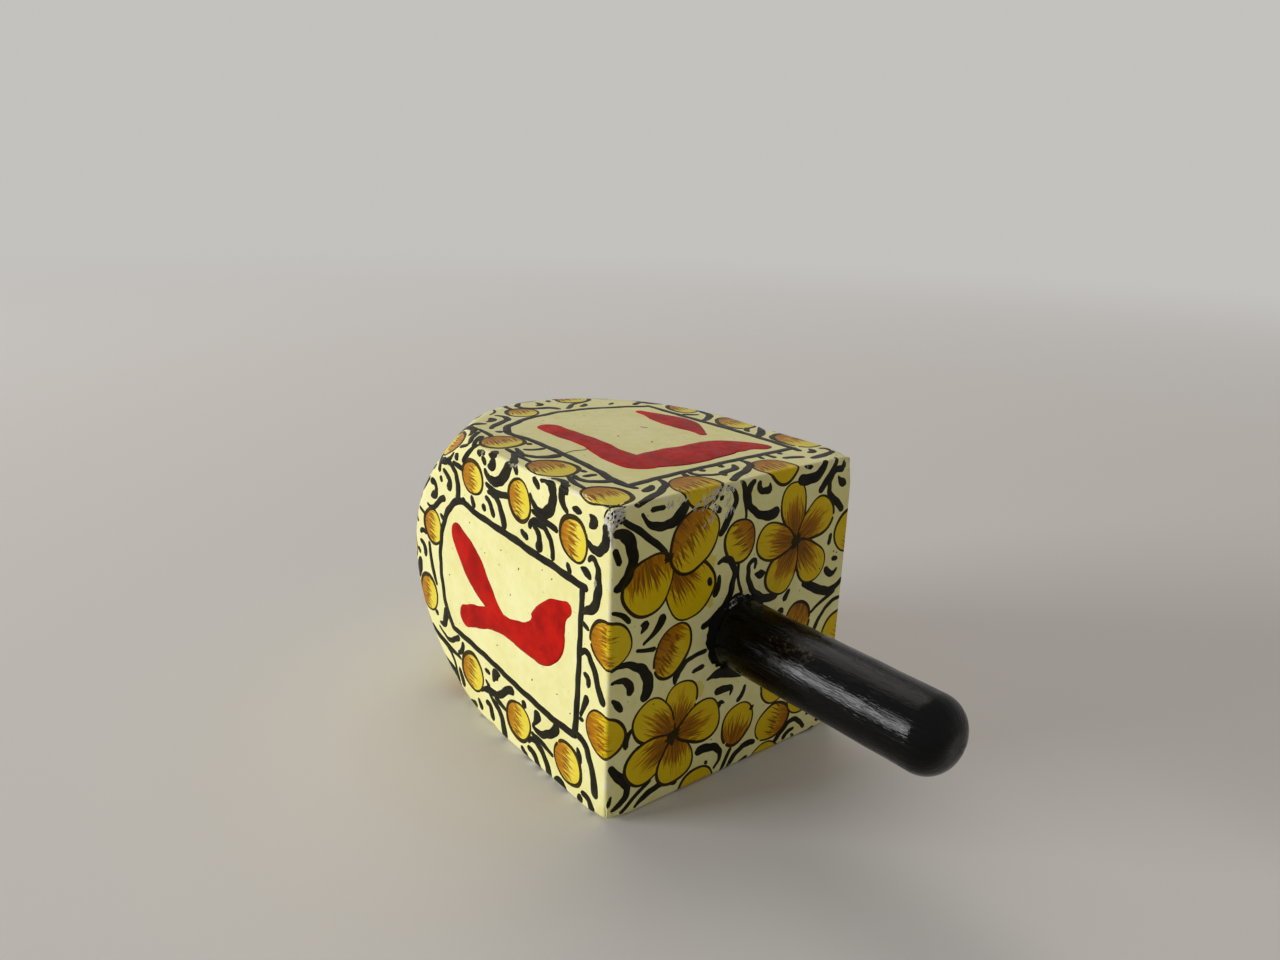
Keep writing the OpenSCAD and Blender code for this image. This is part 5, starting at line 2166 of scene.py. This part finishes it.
@dataclass
class Stem:
    """The lacquered stem with its tenon and rounded free end.

    Attributes:
        form: The block that it stands in.
        radius: Radius of the stem.
        length: Length that stands out of the block.
        end_r: Rounding of the free end.
        tenon_r: Radius of the tenon.
        tenon_end: Place of the tenon's buried end.
        tenon_bevel: Bevel on that end.
        film: Thickness of the glue under the shoulder.
        bevel: Bevel round the foot.
        step: Distance between the rings.
        end_rings: Rings round the free end.
        end_flat: Radii of the rings on the flat of the free end.
        least_r: Least radius of a ring.
        columns: Points in each ring.
        waves: Waves of the lacquer: height, radians to a millimetre, number round the stem and phase.
        lump_count: Number of lumps in the lacquer.
        lump_span: Where lumps begin and end along the stem.
        lump_reach: Least and greatest reach of a lump round the stem.
        lump_height: Least and greatest height of a lump.
        lump_stretch: How much further a lump reaches along the stem.
        dip: Mean depth of the lacquered surface under the solid.
        deepest: Greatest depth of that surface.
        even_end: Lengths from the stem face between which the unevenness sets in.
        rub: How worn the rubbed patch is.
        rub_at: Middle of the rubbed patch along the stem.
        rub_way: Direction of the rubbed patch round the stem, in radians.
        rub_reach: Reach of the rubbed patch along the stem and round it.
        end_rub: How worn the free end is.
        end_span: Lengths between which the wear of the free end sets in.
        tip_rub: How worn the middle of the free end is.
        seed: Seed of the lumps.
    """

    form: BlockForm
    radius: float = 5.7
    length: float = 40.0
    end_r: float = 4.4
    tenon_r: float = 4.0
    tenon_end: float = -19.85
    tenon_bevel: float = 1.0
    film: float = 0.15
    bevel: float = 1.0
    step: float = 0.3
    end_rings: int = 24
    end_flat: Spot = (0.9, 0.4)
    least_r: float = 0.2
    columns: int = 120
    waves: tuple[tuple[float, float, int, float], ...] = ((0.012, 0.5, 2, 0.0), (0.008, 0.9, -3, 1.0))
    lump_count: int = 90
    lump_span: Spot = (2.0, 37.0)
    lump_reach: Spot = (0.4, 1.6)
    lump_height: Spot = (-0.04, 0.03)
    lump_stretch: float = 1.6
    dip: float = 0.08
    deepest: float = 0.3
    even_end: Spot = (1.2, 2.6)
    rub: float = 1.1
    rub_at: float = 15.0
    rub_way: float = 2.3
    rub_reach: Spot = (9.0, 0.5)
    end_rub: float = 0.5
    end_span: Spot = (37.0, 40.0)
    tip_rub: float = 0.4
    seed: int = 7

    def profile(self) -> np.ndarray:
        """Draw the stem's half section.

        Returns:
            Points as (length from the stem face, radius), from the buried end to the free end.
        """
        foot = self.film + self.bevel
        start = self.length - self.end_r
        neck = self.radius - self.end_r
        rows = [
            (self.tenon_end, self.tenon_r - self.tenon_bevel),
            (self.tenon_end + self.tenon_bevel, self.tenon_r),
            (self.film, self.tenon_r),
            (self.film, self.radius - self.bevel),
            (foot, self.radius),
        ]
        rows += [(along, self.radius) for along in np.arange(foot + self.step, start, self.step)]
        for turn in np.radians(np.linspace(0, 90, self.end_rings)):
            rows.append((start + self.end_r * math.sin(turn), neck + self.end_r * math.cos(turn)))
        rows += [(self.length, radius) for radius in self.end_flat]
        return np.array(rows)

    def lumps(self, along: np.ndarray, turn: np.ndarray) -> np.ndarray:
        """Give the unevenness of the thick lacquer.

        Args:
            along: Lengths from the stem face.
            turn: Angles round the stem.

        Returns:
            How far the surface lies below the round stem.
        """
        rng = np.random.default_rng(self.seed)
        rise = np.zeros_like(along)
        for height, rate, count, phase in self.waves:
            rise += height * np.sin(rate * along + count * turn + phase)
        for _ in range(self.lump_count):
            at, way = rng.uniform(*self.lump_span), rng.uniform(0, FULL_TURN)
            reach, height = rng.uniform(*self.lump_reach), rng.uniform(*self.lump_height)
            gap = np.angle(np.exp(1j * (turn - way))) * self.radius
            rise += height * hump(along, at, self.lump_stretch * reach) * hump(gap, 0, reach)
        return np.clip(self.dip - rise, 0, self.deepest) * smoothstep(*self.even_end, along)

    def rubbed(self, along: np.ndarray, turn: np.ndarray) -> np.ndarray:
        """Mark how worn the lacquer is, by length from the stem face and angle round the stem."""
        patch = hump(along, self.rub_at, self.rub_reach[0]) * hump(turn, self.rub_way, self.rub_reach[1])
        return self.rub * patch + self.end_rub * smoothstep(*self.end_span, along)

    def build(self) -> bpy.types.Object:
        """Make the stem.

        Returns:
            The stem.
        """
        profile = self.profile()
        count = self.columns
        along = np.repeat(profile[:, :1], count, axis=1)
        angle = np.repeat(round_angles(count)[None], len(profile), axis=0)
        radius = np.maximum(profile[:, 1:] - self.lumps(along, angle), self.least_r)
        spots = np.stack([-along, radius * np.cos(angle), radius * np.sin(angle)], -1).reshape(-1, 3)
        ends = [[-self.tenon_end, 0, 0], [-self.length, 0, 0]]
        points = self.form.world(np.vstack([spots, ends]))
        total = len(spots)
        faces = ring_faces(len(profile), count, flip=True)
        faces += fan_faces(0, count, total, flip=True)
        faces += fan_faces(total - count, count, total + 1)
        grain = np.stack([along, angle * self.radius], -1).reshape(-1, 2)
        grain = np.vstack([grain, [[self.tenon_end, 0], [self.length, 0]]])
        edge = np.append(self.rubbed(along, angle).ravel(), [0, self.tip_rub])
        piece = mesh_object("lacquered_stem", points, faces, LACQUER, grain, {"edge": edge})
        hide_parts("stem")
        return piece


@dataclass
class GlueBead:
    """The uneven dark bead of glue and lacquer round the stem's foot.

    Attributes:
        form: The block that it lies on.
        stem_r: Radius of the stem.
        bead_r: Height and width of an even bead.
        bury: Depth of the bead's foot in the block.
        grip: How far the bead reaches into the stem.
        core: How far its hidden inner side lies inside the stem.
        width_shares: Mean width and its variation, to the even bead's.
        height_shares: Mean height and its variation, to the even bead's.
        height_lag: Points round the stem by which the height's variation lags behind the width's.
        slope_rings: Rings on its visible slope.
        slope_out: Power that makes the slope hollow outward.
        slope_up: Power that spaces its rings upward.
        crest: How much higher its hidden inner rim is.
        ring_gap: Distance between its rings in the brush map.
        waves: Least and greatest number of waves round its ragged edge.
        wave_fade: Power by which finer waves are lower.
        painted_highlights: Painted highlight, pale arcs on the top and the lamp-facing side of the bead:
        first ring, ring after the last, strength, direction and reach.
        columns: Points in each ring.
        seed: Seed of its raggedness.
    """

    form: BlockForm
    stem_r: float = 5.7
    bead_r: float = 1.15
    bury: float = 0.2
    grip: float = 0.16
    core: float = 1.3
    width_shares: Spot = (0.56, 0.42)
    height_shares: Spot = (1.3, 0.2)
    height_lag: int = 23
    slope_rings: int = 10
    slope_out: float = 1.7
    slope_up: float = 1.1
    crest: float = 0.02
    ring_gap: float = 0.2
    waves: tuple[int, int] = (2, 37)
    wave_fade: float = 0.4
    # Painted highlight: pale arcs on the bead's top and lamp-facing side
    painted_highlights: tuple[tuple[int, int, float, float, float], ...] = (
        (3, 9, 1.25, 1.8, 0.4),
        (8, 11, 1.1, 2.8, 0.6),
    )
    columns: int = 160
    seed: int = 11

    def raggedness(self, turn: np.ndarray) -> np.ndarray:
        """Draw the bead's ragged edge.

        Args:
            turn: Angles round the stem.

        Returns:
            How far the edge runs in or out, from minus one to one.
        """
        rng = np.random.default_rng(self.seed)
        ragged = np.zeros_like(turn)
        for wave in range(self.waves[0], self.waves[1] + 1):
            height = rng.uniform(0.2, 1) / wave**self.wave_fade
            ragged += height * np.sin(wave * turn + rng.uniform(0, ANY_PHASE))
        return ragged / np.abs(ragged).max()

    def build(self) -> bpy.types.Object:
        """Make the bead as a ragged ring.

        Returns:
            The bead.
        """
        turn = round_angles(self.columns)
        ragged = self.raggedness(turn)
        width = self.bead_r * (self.width_shares[0] + self.width_shares[1] * ragged)
        lagging = np.roll(ragged, self.height_lag)
        height = self.bead_r * (self.height_shares[0] + self.height_shares[1] * lagging)
        bottom = np.full_like(turn, self.bury)
        inner = np.full_like(turn, self.stem_r - self.core)
        rings = [(bottom, self.stem_r + width)]
        for share in np.linspace(0, 1, self.slope_rings):
            out = self.stem_r - self.grip + (width + self.grip) * (1 - share) ** self.slope_out
            rings.append((-height * share**self.slope_up, out))
        rings += [(-height - self.crest, inner), (bottom, inner)]
        spots = [np.column_stack([a, out * np.cos(turn), out * np.sin(turn)]) for a, out in rings]
        points = self.form.world(np.vstack(spots))
        count = len(rings)
        faces = ring_faces(count, self.columns, flip=True, loop=True)
        across = np.repeat(np.arange(count) * self.ring_gap, self.columns)
        grain = np.column_stack([np.tile(turn * self.stem_r, count), across])
        edge = np.zeros((count, self.columns))
        # Paint the pale highlight arcs into the wear mark, which turns the glue pale there
        for first, after, strength, way, reach in self.painted_highlights:
            edge[first:after] += strength * hump(turn, way, reach)
        piece = mesh_object("glue_bead", points, faces, DARK_GLUE, grain, {"edge": edge.ravel()})
        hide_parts("glue_bond")
        return piece


@dataclass(frozen=True)
class Lamp:
    """One soft lamp that looks at the block.

    Attributes:
        name: Name of the lamp.
        at: Place in metres.
        power: Power in watts.
        size: Width and height of its face.
        tint: Colour of its light.
        target: Spot that it looks at.
    """

    name: str
    at: tuple[float, float, float]
    power: float
    size: Spot
    tint: tuple[float, float, float] = (1.0, 1.0, 1.0)
    target: tuple[float, float, float] = (0.0, 0.0, 0.025)

    def hang(self) -> None:
        """Hang the lamp in its place."""
        light = bpy.data.lights.new(self.name, "AREA")
        light.shape = "RECTANGLE"
        light.size, light.size_y = self.size
        light.energy = self.power
        light.color = self.tint
        lamp = bpy.data.objects.new(self.name, light)
        way = Vector(self.target) - Vector(self.at)
        lamp.location = self.at
        lamp.rotation_euler = way.to_track_quat("-Z", "Y").to_euler()
        bpy.context.scene.collection.objects.link(lamp)


@dataclass
class Studio:
    """Floor, light and camera, in metres.

    Attributes:
        camera_at: Place of the camera.
        camera_way: Direction that it looks in.
        camera_roll: Its roll in radians.
        lens: Its focal length in millimetres.
        sensor: Width of its sensor in millimetres.
        clip_start: Nearest distance that it shows.
        backdrop: Colour of the background.
        ambient: Strength of the fill light.
        ambient_tint: Colour of the fill light.
        floor_height: Height of the floor, just under the paint of the lowest side.
        floor_rings: Radii of the floor's rings.
        floor_columns: Points in each of them.
        lamps: The lamps.
    """

    camera_at: tuple[float, float, float] = (0.11629, -0.09893, 0.09237)
    camera_way: tuple[float, float, float] = (-0.741942, 0.600120, -0.298961)
    camera_roll: float = 0.0333
    lens: float = 27.2
    sensor: float = 36.0
    clip_start: float = 0.005
    backdrop: Colour = (0.55, 0.535, 0.52, 1.0)
    ambient: float = 0.25
    ambient_tint: Colour = (1.0, 0.95, 0.9, 1.0)
    floor_height: float = -0.00006
    floor_rings: tuple[float, ...] = (0.05, 0.12, 0.25, 0.5, 1.0, 2.0, 5.0)
    floor_columns: int = 64
    lamps: tuple[Lamp, ...] = (
        Lamp("key_light", (-0.7, -1.28, 0.29), 17.0, (0.7, 0.44)),
        Lamp("top_light", (-0.72, 0.32, 1.16), 4.5, (1.0, 0.8), (1.0, 0.93, 0.86)),
    )

    def floor(self) -> None:
        """Lay a plain pale floor."""
        height, count = self.floor_height, self.floor_columns
        turns = round_angles(count)
        points = [(r * math.cos(t), r * math.sin(t), height) for r in self.floor_rings for t in turns]
        faces = ring_faces(len(self.floor_rings), count)
        faces += fan_faces(0, count, len(points))
        mesh = bpy.data.meshes.new("stage_floor")
        mesh.from_pydata([*points, (0.0, 0.0, height)], [], faces)
        mesh.materials.append(StageFloor(backdrop=self.backdrop).material())
        floor = bpy.data.objects.new("stage_floor", mesh)
        bpy.context.scene.collection.objects.link(floor)

    def world(self) -> None:
        """Give the room an even pale background and a low fill light."""
        world = bpy.data.worlds.new("studio")
        world.use_nodes = True
        bpy.context.scene.world = world
        graph = Graph(world.node_tree)
        values = {"Color": self.ambient_tint, "Strength": self.ambient}
        fill = graph.fill(graph.node("Background"), values)
        back = graph.fill(graph.node("Background"), {"Color": self.backdrop})
        graph.mix_shaders(graph.seen(), fill.outputs[0], back.outputs[0], "World Output")

    def camera(self) -> None:
        """Set the camera at the photograph's place and tilt."""
        data = bpy.data.cameras.new("camera")
        data.lens = self.lens
        data.sensor_width = self.sensor
        data.sensor_fit = "HORIZONTAL"
        data.clip_start = self.clip_start
        way = Vector(self.camera_way).normalized()
        right = way.cross(Vector((0, 0, 1))).normalized()
        up = right.cross(way)
        cos, sin = math.cos(self.camera_roll), math.sin(self.camera_roll)
        level = right * cos + up * sin
        upright = up * cos - right * sin
        camera = bpy.data.objects.new("camera", data)
        turn = Matrix((level, upright, -way)).transposed().to_4x4()
        camera.matrix_world = Matrix.Translation(self.camera_at) @ turn
        bpy.context.scene.collection.objects.link(camera)
        bpy.context.scene.camera = camera

    def build(self) -> None:
        """Set up the studio."""
        bpy.context.scene.view_settings.view_transform = "Standard"
        self.camera()
        self.floor()
        self.world()
        for lamp in self.lamps:
            lamp.hang()


def main() -> None:
    """Build the top and its studio, and report each piece."""
    logging.basicConfig(level=logging.INFO, format="%(message)s")
    Studio().build()
    form = BlockForm()
    Block(form).build()
    StemFacePaint(form).build()
    Panel(form, Face.LEFT, "left", Letter.GIMEL, SIDE_BUDS, SIDE_FRAME, SIDE_SCROLLS, 100).build()
    Panel(form, Face.UPPER, "upper", Letter.HEI, TOP_BUDS, TOP_FRAME, TOP_SCROLLS, 200).build()
    Panel(form, Face.BACK, "back", Letter.SHIN, SIDE_BUDS, SIDE_FRAME, SIDE_SCROLLS, 300).build()
    Panel(form, Face.UNDER, "under", Letter.NUN, UNDER_BUDS, TOP_FRAME, TOP_SCROLLS, 400).build()
    PointPaint(form).build()
    Wear(form).build()
    Stem(form).build()
    GlueBead(form).build()


if __name__ == "__main__":
    main()
